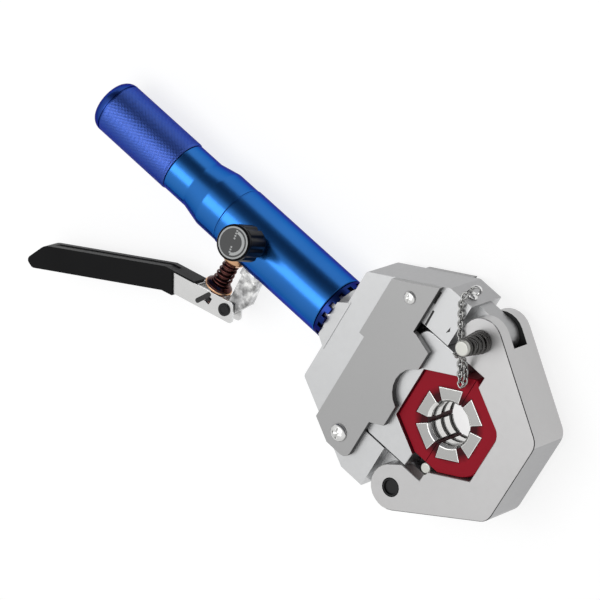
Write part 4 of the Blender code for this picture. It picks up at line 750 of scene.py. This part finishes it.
def make_lock_ring():
    """A castellated ring nut: a plain band and square teeth towards the head."""
    start, end = low("lock_ring").x, high("lock_ring").x
    radius = high("lock_ring").z
    band = (start + end) / 2
    foot = start + RING_EASING
    profile = [(radius - RING_EDGE, foot), (radius, start + RING_EDGE), (radius, band),
               (RING_BORE, band), (RING_BORE, foot)]
    shapes = [turned(eased(profile, RING_EASING), (0, 0, 0), X_AXIS, ring=True)]
    for tooth in range(RING_TEETH):
        angles = [math.tau * (tooth + TOOTH_SHARE * step / TOOTH_STEPS) / RING_TEETH
                  for step in range(TOOTH_STEPS + 1)]
        outline = on_circle(radius, angles) + on_circle(RING_BORE, reversed(angles))
        tooth_shape = slab(outline, band - GAP, end, facing((0, 0, 0), X_AXIS))
        shapes.append(soften(tooth_shape, TOOTH_EDGE))
    piece("castellated_ring", joined(shapes), dark_blue, "frame", ["lock_ring"])


make_end_cap()
make_grip()
make_neck()
make_cylinder()
make_lock_ring()


# Crimp head: frame, covers, yoke, punch and dies

SHOULDER_GAP = 0.0004
SHOULDER_REACH = 0.0094
SHOULDER_HALF_START = 0.0155
SHOULDER_HALF_END = 0.0225
FRAME_SIDE_START = 0.03         # how far from the middle the frame's ground sides begin
YOKE_SIDE_END = 0.034
YOKE_EAR_START = 0.05
FORK_SLOT_HALF = 0.0095
POCKET_HALF = 0.043
POCKET_CORNER = (0.4168, 0.0221, 0.0055)      # where the holder's rounded corner sits in the yoke
HOLDER_REACH = high("die_holder_front").x
HOLDER_CORNER_Y = 0.02194
HOLDER_CORNERS = {"die_holder_front": ((HOLDER_REACH, HOLDER_CORNER_Y, 0.0055),
                                       (HOLDER_REACH, -HOLDER_CORNER_Y, 0.0085))}
CORNER_REACH = 0.0013           # how far from its corner a rounded corner's points may stand
DIE_BORE_RADIUS = 0.0165
DIE_LAND_DEPTH = 0.0012
DIE_GROOVE_DEPTH = 0.0034
DIE_RIM_DEPTH = 0.0026
DIE_EDGE = 0.0006
DIE_RIM_ROUND = 0.0009
HOLDER_EDGE = 0.0005
LOCK_PIN_EDGE = 0.0006
HINGE_PIN_DISH = 0.0016
HINGE_PIN_DISH_SHARES = (0.72, 0.80)          # of the pin's radius: the dish's floor and its lip
SCREW_SHANK_RADIUS = 0.0026
SCREW_SHANK_LENGTH = 0.006
RECESS_LENGTH_SHARE = 0.62
RECESS_WIDTH_SHARE = 0.13
RECESS_DEPTH_SHARE = 0.55
RECESS_TURN = 20                # degrees
DOME_STEPS = 9


def shoulder_block():
    """The flat shoulder between the lock ring and the frame, a hair proud of the frame's face."""
    start = high("lock_ring").x + SHOULDER_GAP
    end = start + SHOULDER_REACH
    face = high("head_frame").z + HAIR / 3
    outline = [(start, -SHOULDER_HALF_START), (end, -SHOULDER_HALF_END), (end, SHOULDER_HALF_END),
               (start, SHOULDER_HALF_START)]
    return slab(outline, -face, face)


def make_frame():
    """The head frame, with its upper and lower sides ground and darker as painted shade."""
    def ground_and_shaded_side(normal, at):
        return abs(normal.z) < UPRIGHT and normal.y * at.y > 0 and abs(at.y) > FRAME_SIDE_START

    shape = joined([dressed("head_frame"), shoulder_block()])
    paint_faces(shape, 1, ground_and_shaded_side)
    piece("crimp_head_frame", shape, (nickel, ground_and_shaded_nickel), "frame", ["head_frame"])


def make_covers():
    """The cover plates, with painted shade on the edges towards the dies."""
    def shaded_edge(normal, at):
        return normal.x > 0.4 and abs(normal.z) < UPRIGHT

    for name in ("front_cover", "rear_cover"):
        cover = paint_faces(dressed(name), 1, shaded_edge)
        piece(name.replace("cover", "cover_plate"), cover, (grey_plate, painted_shade_edge), "frame",
              [name])


def round_upright(shape, corners):
    """Rounds the corners that stand along Z at (x, y), each by its own width."""
    def standing(x, y):
        return [vert for vert in shape.verts
                if (vert.co - Vector((x, y, vert.co.z))).length < CORNER_REACH]

    for x, y, width in corners:
        for level in sorted({round(vert.co.z, 5) for vert in standing(x, y)}):
            close = [vert for vert in standing(x, y) if abs(vert.co.z - level) < HAIR]
            if len(close) > 1:
                bmesh.ops.pointmerge(shape, verts=close, merge_co=(x, y, level))
        corner = set(standing(x, y))
        near = [edge for edge in shape.edges if corner.issuperset(edge.verts)]
        bmesh.ops.bevel(shape, geom=near, offset=width, offset_type="OFFSET", segments=6, profile=0.5,
                        affect="EDGES", material=-1, clamp_overlap=False)
    return shape


def make_yoke():
    """The hinged yoke, with ground outer sides that are darker as painted shade, and painted shade on the
    rim and in the fork slots.
    """
    def outer_side(normal, at):
        return abs(normal.z) < UPRIGHT and normal.x > 0.3 and at.y < YOKE_SIDE_END

    def rim(normal, at):
        return 0.25 < normal.z < 0.97 and normal.x > 0.2 and at.x > LATCH.x + 0.004

    def fork_slot(normal, at):
        inside = abs(at.z) < FORK_SLOT_HALF and abs(at.y) > YOKE_EAR_START
        return inside and (abs(normal.z) > 0.9 or normal.x < -0.3)

    shape = round_upright(dressed("yoke", width=0), (POCKET_CORNER,))
    soften(shape, FINE_EDGE)
    paint_faces(shape, 2, outer_side)
    # The rim and the fork slots get painted shade.
    paint_faces(shape, 1, rim)
    paint_faces(shape, 1, fork_slot)
    piece("hinged_yoke", shape, (warm_nickel, painted_shade_edge, ground_and_shaded_nickel), "yoke", ["yoke"])


def make_punch():
    """The punch, with dark red painted shade on the wall that the rear holder sits against."""
    seat_start = low("die_holder_rear").x - 0.001

    def wall(normal, at):
        facing_dies = normal.x > 0.3 and abs(normal.z) < UPRIGHT
        return facing_dies and at.x > seat_start and abs(at.y) < POCKET_HALF

    # The seat wall's dark red is painted shade.
    shape = paint_faces(dressed("punch"), 1, wall)
    piece("ram_punch", shape, (nickel, seat_shade_red), "ram", ["punch"])


def faces_bore(normal, at, nearest, farthest):
    """Whether a face looks at the dies' centre line, from between two distances."""
    outward = Vector((at.x - DIE_CENTRE.x, at.y, 0))
    return (abs(normal.z) < 0.2 and nearest < outward.length < farthest
            and normal.dot(outward.normalized()) < -0.8)


def make_die_segments():
    """Zinc segments with painted shade on the groove floors and painted highlights on the lands and rims.
    """
    land_end = DIE_BORE_RADIUS + DIE_LAND_DEPTH

    def groove_floor(normal, at):
        return faces_bore(normal, at, land_end, DIE_BORE_RADIUS + DIE_GROOVE_DEPTH)

    def land(normal, at):
        return faces_bore(normal, at, 0, land_end)

    def front_rim(normal, at):
        return at.z > DIE_FACE - DIE_RIM_DEPTH and normal.z < 0.97

    for number in range(1, 7):
        shape = dressed(f"die_segment_{number}", width=0)
        bmesh.ops.remove_doubles(shape, verts=shape.verts, dist=DIE_EDGE)
        soften(shape, DIE_RIM_ROUND, 3)
        paint_faces(shape, 1, groove_floor)
        paint_faces(shape, 2, land)
        paint_faces(shape, 2, front_rim)
        piece(f"grooved_die_{number}", shape, (zinc, groove_painted_shade, land_painted_highlight),
              "ram" if number < 4 else "yoke", [f"die_segment_{number}"])


def make_die_holders():
    for name, body in (("die_holder_rear", "ram"), ("die_holder_front", "yoke")):
        shape = round_upright(dressed(name, width=0), HOLDER_CORNERS.get(name, ()))
        piece(name.replace("die_", "red_"), soften(shape, HOLDER_EDGE, 3), red, body,
              [name])


def make_lock_pin():
    start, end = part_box("die_lock_pin")
    profile = eased(rod_profile(radius_of("die_lock_pin"), start.z, end.z, LOCK_PIN_EDGE), 0.0004)
    at = middle("die_lock_pin")
    piece("lock_pin_of_dies", turned(profile, (at.x, at.y, 0), Z_AXIS, SMALL_ROUND), cap_grey, "yoke",
          ["die_lock_pin"])


def make_hinge_pin():
    """A black pin with dished ends."""
    radius = radius_of("hinge_pin")
    top = high("hinge_pin").z
    floor = top - HINGE_PIN_DISH
    foot, lip = (radius * share for share in HINGE_PIN_DISH_SHARES)
    upper = [(radius, top - 0.0006), (radius - 0.0005, top), (lip, top), (foot, floor), (0, floor)]
    lower = [(across, -height) for across, height in reversed(upper)]
    piece("black_hinge_pin", turned(lower + upper, (HINGE.x, HINGE.y, 0), Z_AXIS, SMALL_ROUND),
          black_oxide, "frame", ["hinge_pin"])


def cross_recessed(head_shape, radius, bottom, top):
    """The screw head with a cross cut into it, from bottom upwards."""
    head = as_object("screw_head", head_shape)
    length, width = radius * RECESS_LENGTH_SHARE, radius * RECESS_WIDTH_SHARE
    bar = [(-length, -width), (length, -width), (length, width), (-length, width)]
    tools = []
    for turn in (0, 90):
        lie = Matrix.Rotation(math.radians(turn + RECESS_TURN), 4, "Z")
        tools.append(as_object("recess", slab(bar, bottom, top, lie)))
        recess = head.modifiers.new("recess", "BOOLEAN")
        recess.operation = "DIFFERENCE"
        recess.solver = "EXACT"
        recess.object = tools[-1]
    bpy.context.view_layer.update()
    shape = bmesh.new()
    shape.from_mesh(head.evaluated_get(bpy.context.evaluated_depsgraph_get()).to_mesh())
    for item in tools + [head]:
        bpy.data.objects.remove(item, do_unlink=True)
    bmesh.ops.remove_doubles(shape, verts=shape.verts, dist=MERGE)
    return shape


def make_cover_screws():
    """Domed cross-recess screws on both covers."""
    base = COVER_FACE + 0.0003
    turns = [math.radians(90 * step / DOME_STEPS) for step in range(DOME_STEPS)]
    for side, face in (("front", 1), ("rear", -1)):
        for place in ("lower", "upper"):
            node = f"cover_screw_{side}_{place}"
            at = middle(node)
            radius = radius_of(node)
            top = high(node).z if face > 0 else -low(node).z
            height = top - base
            dome = [(radius * math.cos(turn), base + height * math.sin(turn)) for turn in turns]
            shank_end = base - SCREW_SHANK_LENGTH
            profile = [(0, shank_end), (SCREW_SHANK_RADIUS, shank_end), (SCREW_SHANK_RADIUS, base),
                       (radius - 0.0003, base)] + dome + [(0, top)]
            screw = cross_recessed(turned(profile, (0, 0, 0), Z_AXIS, SMALL_ROUND), radius,
                                   top - height * RECESS_DEPTH_SHARE, top + 0.002)
            screw.transform(facing((at.x, at.y, 0), Z_AXIS * face))
            piece(f"cross_screw_{side}_{place}", screw, bright, "frame", [node],
                  smooth=25)


def make_face_marks():
    """Two black marks beside the cover, painted shade of the cover's edge and of a slot, and a small
    pointer on the frame's face.
    """
    # The first two marks are painted shade; the triangle is a printed pointer.
    marks = [[(0.3199, 0.0690), (0.3213, 0.0690), (0.3213, 0.0800), (0.3199, 0.0800)],
             [(0.3225, 0.0505), (0.3244, 0.0505), (0.3238, 0.0643), (0.3222, 0.0643)],
             [(0.3400, 0.0573), (0.3422, 0.0602), (0.3408, 0.0634)]]
    shapes = [slab(mark, HEAD_FACE, HEAD_FACE + HAIR) for mark in marks]
    piece("face_shade_marks_and_pointer", joined(shapes), ink_and_painted_shade, "frame")


make_frame()
make_covers()
make_yoke()
make_punch()
make_die_segments()
make_die_holders()
make_lock_pin()
make_hinge_pin()
make_cover_screws()


# Latch: pin, cap and conical spring; and the screw eye that holds the chain

LATCH_SPRING_FOOT = HEAD_FACE + 0.0001
LATCH_SPRING_RADII = (0.0079, 0.0056)
LATCH_SPRING_WIRE = 0.00105
LATCH_SPRING_TURNS = 5.6
EYE_DOME_RADIUS = 0.0042
EYE_WIRE = 0.0013
EYE_RADIUS = 0.0036
EYE_LEAN = math.radians(40)
EYE_STEPS = 32


def make_latch():
    at = (LATCH.x, LATCH.y, 0)
    cap_low, cap_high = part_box("latch_cap")
    radius = radius_of("latch_cap")
    cap = [(0, cap_low.z), (radius - 0.0004, cap_low.z), (radius, cap_low.z + 0.0004),
           (radius, cap_high.z - 0.0007), (radius - 0.0007, cap_high.z), (0, cap_high.z)]
    piece("latch_pull_cap", turned(eased(cap, 0.0003), at, Z_AXIS, SMALL_ROUND), cap_grey, "latch",
          ["latch_cap"])
    pin_low = low("latch_pin").z
    pin_high = cap_low.z - GAP
    pin_radius = radius_of("latch_pin")
    pin = [(0, pin_low), (pin_radius - 0.0015, pin_low), (pin_radius, pin_low + 0.0015),
           (pin_radius, pin_high), (0, pin_high)]
    piece("latch_pin_shaft", turned(eased(pin, 0.0004), at, Z_AXIS, SMALL_ROUND), inner_steel, "latch",
          ["latch_pin"])
    foot = (LATCH.x, LATCH.y, LATCH_SPRING_FOOT)
    spring = helix(foot, Z_AXIS, pin_high - LATCH_SPRING_FOOT, *LATCH_SPRING_RADII, LATCH_SPRING_WIRE,
                   LATCH_SPRING_TURNS)
    made = piece("latch_cone_spring", spring, grey_spring, "yoke", ["latch_spring"],
                 smooth=70)
    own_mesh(made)


def make_eye_screw():
    """A round-headed screw eye in the frame's upper edge."""
    at = middle("chain_eye_screw")
    face = high("head_frame").y
    dome = [(0, face + 0.0001), (EYE_DOME_RADIUS, face + 0.0001), (EYE_DOME_RADIUS, face + 0.0009),
            (EYE_DOME_RADIUS * 0.8, face + 0.0023), (EYE_DOME_RADIUS * 0.4, face + 0.0033),
            (0, face + 0.0035)]
    head = turned(eased(dome, 0.0004), (at.x, 0, at.z), Y_AXIS, SMALL_ROUND)
    centre = high("chain_eye_screw").y - EYE_RADIUS - EYE_WIRE - HAIR
    ring = []
    for index in range(EYE_STEPS):
        turn = math.tau * index / EYE_STEPS
        across = EYE_RADIUS * math.cos(turn)
        ring.append((at.x - across * math.sin(EYE_LEAN), centre + EYE_RADIUS * math.sin(turn),
                     at.z + across * math.cos(EYE_LEAN)))
    piece("screw_eye", joined([head, wire(ring, EYE_WIRE, cyclic=True)]), bright, "frame",
          ["chain_eye_screw"], smooth=60)


make_latch()
make_eye_screw()
make_face_marks()


# Pump: gland, spring, seat, washer, plunger, bracket and lever

PUMP_SPRING_RADII = (0.0054, 0.0066)
PUMP_SPRING_WIRE = 0.00100
PUMP_SPRING_TURNS = 5.5
GLAND_SUNK = 0.0015             # how deep the gland's foot sits in the tube
FULCRUM_COLLAR = 0.0012
FULCRUM_SHANK_STEP = 0.0009
LEVER_SLOPE = math.radians(15)
LEVER_SLOT_HALF = 0.0019
LEVER_SLOT_STEPS = 8


def pump_piece(name, profile, easing, material, body, node, steps=SMALL_ROUND):
    """A piece turned round the pump's axis, from (radius, distance below the tube's middle) points."""
    shape = turned(eased(profile, easing), (PUMP_X, 0, 0), -Y_AXIS, steps)
    piece(name, shape, material, body, [node])


def make_gland():
    end = -low("pump_gland").y
    radius = high("pump_gland").z
    start = TUBE_RADIUS - GLAND_SUNK
    profile = [(0, start), (radius, start), (radius, end - 0.003), (radius - 0.0022, end), (0, end)]
    pump_piece("pump_gland_nut", profile, 0.0006, copper, "frame", "pump_gland")


def make_pump_spring():
    start = GAP - low("pump_gland").y
    length = -high("spring_seat").y - GAP - start
    anchor = (PUMP_X, -start, 0)
    spring = helix(anchor, -Y_AXIS, length, *PUMP_SPRING_RADII, PUMP_SPRING_WIRE, PUMP_SPRING_TURNS)
    made = piece("pump_return_spring", spring, brown_spring, "frame", ["pump_spring"],
                 smooth=70)
    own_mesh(made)


def make_plunger():
    """The seat, the washer, the rod and the pin that the lever pushes."""
    seat_low, seat_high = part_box("spring_seat")
    radius = seat_high.z
    seat = [(0, -seat_high.y), (radius * 0.78, -seat_high.y), (radius, -seat_low.y - 0.0006),
            (radius, -seat_low.y), (0, -seat_low.y)]
    pump_piece("dark_spring_seat", seat, 0.0004, brown_spring, "plunger", "spring_seat")
    washer_low, washer_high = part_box("seat_washer")
    washer = rod_profile(washer_high.z, -washer_high.y, -washer_low.y, 0.0005)
    pump_piece("copper_washer", washer, 0.0003, copper, "plunger", "seat_washer", 72)
    piece("plunger_rod", dressed("pump_plunger"), brown_rod, "plunger",
          ["pump_plunger"])
    thrust = middle("thrust_pin")
    half = high("thrust_pin").z
    pin = rod_profile(radius_of("thrust_pin"), -half, half, 0.0003)
    piece("thrust_cross_pin", turned(pin, (thrust.x, thrust.y, 0), Z_AXIS, 32), black_oxide, "plunger",
          ["thrust_pin"])


def make_bracket():
    piece("chrome_bracket", dressed("lever_bracket", width=0.0006, segments=3), chrome, "frame",
          ["lever_bracket"])


def make_fulcrum():
    """A black pin with a collar at each end and a dimple in its front."""
    half = high("fulcrum_pin").z
    radius = radius_of("fulcrum_pin")
    shank = radius - FULCRUM_SHANK_STEP
    inner = half - FULCRUM_COLLAR
    edge = 0.0004
    profile = [(0, -half), (radius - edge, -half), (radius, edge - half), (radius, -inner), (shank, -inner),
               (shank, inner), (radius, inner), (radius, half - edge), (radius - edge, half),
               (radius * 0.6, half), (radius * 0.5, half - edge), (0, half - edge)]
    piece("black_fulcrum_pin", turned(profile, (FULCRUM.x, FULCRUM.y, 0), Z_AXIS, SMALL_ROUND),
          black_oxide, "frame", ["fulcrum_pin"])


def lever_place(along, down):
    """A place on the lever's flange: along from the fulcrum to the grip, down from the pin's level."""
    return Vector((FULCRUM.x - along * math.cos(LEVER_SLOPE) + down * math.sin(LEVER_SLOPE),
                   FULCRUM.y - along * math.sin(LEVER_SLOPE) - down * math.cos(LEVER_SLOPE)))


def make_lever_slot():
    """The slanted slot in both flanges of the lever, drawn as a black patch of painted shade."""
    start, end = lever_place(0.0250, 0.0040), lever_place(0.0165, -0.0050)
    run = (end - start).normalized() * LEVER_SLOT_HALF
    side = Vector((-run.y, run.x))
    outline = []
    for centre, turn in ((end, 1), (start, -1)):
        for step in range(LEVER_SLOT_STEPS + 1):
            angle = math.radians(90 - 180 * step / LEVER_SLOT_STEPS)
            outline.append(tuple(centre + turn * (run * math.cos(angle) + side * math.sin(angle))))
    face = high("lever_arm").z
    # A black patch where the slot's opening is: painted shade.
    shapes = [slab(outline, face, face + HAIR), slab(outline, -face - HAIR, -face)]
    piece("lever_slot_painted_shade", joined(shapes), ink_and_painted_shade, "lever")


def make_lever():
    piece("pressed_lever", dressed("lever_arm", width=0.0003), lever_zinc, "lever",
          ["lever_arm"])
    make_lever_slot()
    piece("rubber_grip", dressed("lever_grip", width=0.0022, segments=4), rubber, "lever",
          ["lever_grip"], smooth=50)


make_gland()
make_pump_spring()
make_plunger()
make_bracket()
make_fulcrum()
make_lever()


# Release valve: nut, fluted knob and dial

KNOB_RADIUS = radius_of("release_knob")
KNOB_FACE = 0.0590
KNOB_LENGTH = 0.0265
KNOB_COLLAR = 0.0036            # how high the smooth collar stands over the flutes
DIAL_RADIUS = radius_of("knob_dial")
DIAL_SUNK = 0.0005
FLUTES = 10
FLUTE_STEPS = 12
FLUTE_DEPTH = 0.0013
ARC_SHARES = (0.60, 0.78)
TICK_ROWS = ((107, 4), (287, 3))              # degrees, ticks
TICK_START_SHARE = 0.28
TICK_PITCH_SHARE = 0.16
TICK_HALF = (0.0006, 0.0007)
VALVE_NUT_SUNK = 0.002
VALVE_NUT_TOP = 0.0300
FLAT_ON_KNOB = facing(KNOB_CENTRE, KNOB_AXIS)


def make_knob():
    """A fluted black knob with a smooth collar round its face, and a grey dial."""
    outline = []
    for flute in range(FLUTES):
        for step in range(FLUTE_STEPS):
            share = step / FLUTE_STEPS
            dip = max(0.0, math.cos(math.tau * (share - 0.5)) - 0.1) / 0.9
            outline += on_circle(KNOB_RADIUS - FLUTE_DEPTH * dip, [math.tau * (flute + share) / FLUTES])
    grip_low = KNOB_FACE - KNOB_LENGTH
    grip_high = KNOB_FACE - KNOB_COLLAR
    body = soften(slab(outline, grip_low, grip_high, FLAT_ON_KNOB), 0.0005, 2, 60)
    radius = KNOB_RADIUS - GAP
    edge = KNOB_FACE - 0.0010
    seat_radius = DIAL_RADIUS + GAP
    collar = [(0, grip_high - 0.0005), (radius, grip_high - 0.0005), (radius, edge),
              (radius - 0.0010, KNOB_FACE), (seat_radius, KNOB_FACE), (seat_radius, edge), (0, edge)]
    shapes = [body, turned(eased(collar, 0.0003), KNOB_CENTRE, KNOB_AXIS, FINE_ROUND)]
    piece("fluted_knob", joined(shapes), plastic, "valve", ["release_knob"], smooth=40)
    top = KNOB_FACE - DIAL_SUNK
    dial = [(0, top - 0.0006), (DIAL_RADIUS, top - 0.0006), (DIAL_RADIUS, top), (0, top)]
    piece("grey_dial", turned(eased(dial, 0.0001), KNOB_CENTRE, KNOB_AXIS, FINE_ROUND), dial_grey,
          "valve", ["knob_dial"])
    make_dial_marks(top)


def sector(inner, outer, start, end, steps):
    """The outline of a part of a ring, in degrees."""
    angles = [math.radians(start + (end - start) * step / steps) for step in range(steps + 1)]
    return on_circle(outer, angles) + on_circle(inner, reversed(angles))


def make_dial_marks(top):
    """Printed marks: a pale ring round the rim, an open arc and two rows of ticks."""
    print_top = top + HAIR
    inner, outer = DIAL_RADIUS - 0.0013, DIAL_RADIUS - 0.0001
    ring = [(inner, top), (outer, top), (outer, print_top), (inner, print_top)]
    arc = sector(DIAL_RADIUS * ARC_SHARES[0], DIAL_RADIUS * ARC_SHARES[1], -70, 100, 40)
    shapes = [turned(ring, KNOB_CENTRE, KNOB_AXIS, FINE_ROUND, ring=True),
              slab(arc, top, print_top, FLAT_ON_KNOB)]
    half_length, half_width = TICK_HALF
    for angle, count in TICK_ROWS:
        row = FLAT_ON_KNOB @ Matrix.Rotation(math.radians(angle), 4, "Z")
        for index in range(count):
            along = DIAL_RADIUS * (TICK_START_SHARE + TICK_PITCH_SHARE * index)
            start, end = along - half_length, along + half_length
            tick = [(start, -half_width), (end, -half_width), (end, half_width), (start, half_width)]
            shapes.append(slab(tick, top, print_top, row))
    piece("dial_print", joined(shapes), mark_grey, "valve")


def make_valve_nut():
    radius = radius_of("release_gland_nut")
    start = TUBE_RADIUS - VALVE_NUT_SUNK
    edge = 0.0012
    profile = [(0, start), (radius, start), (radius, VALVE_NUT_TOP - edge), (radius - edge, VALVE_NUT_TOP),
               (0, VALVE_NUT_TOP)]
    piece("black_valve_nut", turned(eased(profile, 0.0005), KNOB_CENTRE, KNOB_AXIS, SMALL_ROUND),
          black_oxide, "frame", ["release_gland_nut"])


make_knob()
make_valve_nut()


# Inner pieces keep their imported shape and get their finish

INNER_FINISHES = {"oil_bladder": seal_rubber, "bladder_clip": bright, "suction_ball": bright,
                  "delivery_ball": bright, "delivery_spring": brown_spring, "piston_seal": seal_rubber,
                  "ram_rod": inner_steel, "ram_return_spring": brown_spring,
                  "release_spindle": inner_steel}

for inner_node, finish in INNER_FINISHES.items():
    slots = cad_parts[inner_node].data.materials
    slots.clear()
    slots.append(finish)


# Studio: pale floor, soft light and a white background

FLOOR_DROP = 0.0002
FLOOR_HALF = 12
FLOOR_GLOW = 0.78
FLOOR_COLOUR = (0.30, 0.30, 0.30)
AMBIENT = 0.44
BANK_PLACE = Vector((-0.13, 0.02, 1.60))
BANK_SIZE = (1.5, 0.95)
BANK_RADIANCE = 2.4
# What metal sees round the tube's axis: degrees from straight up towards +Y, and the tone there
WALL_TONES = ((-120, (0.62, 0.62, 0.62)), (-60, (0.80, 0.80, 0.80)), (-30, (0.92, 0.92, 0.92)),
              (26, (0.92, 0.92, 0.92)), (42, (0.17, 0.17, 0.18)), (70, (0.08, 0.08, 0.09)),
              (92, (0.28, 0.28, 0.30)))


def seen_rays(made):
    """One for rays from the camera and for rays that metal and glass send on."""
    rays = made.tree.nodes.new("ShaderNodeLightPath")
    seen = [Signal(made, rays.outputs[f"Is {kind} Ray"]) for kind in ("Camera", "Glossy", "Transmission")]
    return seen[0] + seen[1] + seen[2]


def make_floor():
    """A floor that shows white, and still takes the object's shadow."""
    shape = bmesh.new()
    bmesh.ops.create_grid(shape, x_segments=4, y_segments=4, size=FLOOR_HALF)
    bmesh.ops.translate(shape, verts=shape.verts, vec=(0, 0, CAD_BOX[0][2] - FLOOR_DROP))
    floor = as_object("studio_floor", shape)
    paint = Finish("pale_floor", FLOOR_COLOUR, 0.9)
    floor.data.materials.append(paint.material)
    white = {"Color": (1, 1, 1, 1), "Strength": seen_rays(paint) * FLOOR_GLOW}
    glow = paint.node("Emission", values=white)
    total = paint.node("AddShader", values={0: glow, 1: Signal(paint, paint.shader.outputs[0])})
    paint.tree.links.new(total.socket, paint.tree.nodes["Material Output"].inputs["Surface"])


def light_world():
    """Even light on matt surfaces; metal sees a studio whose walls dim towards the latch side."""
    world = bpy.data.worlds.new("studio")
    bpy.context.scene.world = world
    room = Finish("studio", (1, 1, 1), 0.5, owner=world)
    direction = room.node("TexCoord", output="Generated")
    across = room.node("SeparateXYZ", values={0: direction}, output=1)
    upward = room.node("SeparateXYZ", values={0: direction}, output=2)
    turn = room.node("Math", {"operation": "ARCTAN2"}, {0: across, 1: upward})
    walls = room.ramp(turn * (0.5 / math.pi) + 0.5,
                      [(degrees / 360 + 0.5, tone) for degrees, tone in WALL_TONES])
    colour = room.mix(seen_rays(room), (AMBIENT, AMBIENT, AMBIENT), walls)
    background = room.tree.nodes["Background"]
    room.tree.links.new(colour.socket, background.inputs["Color"])
    background.inputs["Strength"].default_value = 1


def hang_bank():
    """One wide soft light that looks straight down on the tool."""
    data = bpy.data.lights.new("overhead_bank", "AREA")
    data.shape = "RECTANGLE"
    data.size, data.size_y = BANK_SIZE
    data.energy = BANK_RADIANCE * math.pi * BANK_SIZE[0] * BANK_SIZE[1]
    lamp = bpy.data.objects.new("overhead_bank", data)
    lamp.location = BANK_PLACE
    lamp.rotation_euler = (-Z_AXIS).to_track_quat("-Z", "Y").to_euler()
    lamp.visible_camera = False
    bpy.context.scene.collection.objects.link(lamp)


make_floor()
light_world()
hang_bank()

bpy.context.scene.view_settings.view_transform = "Standard"
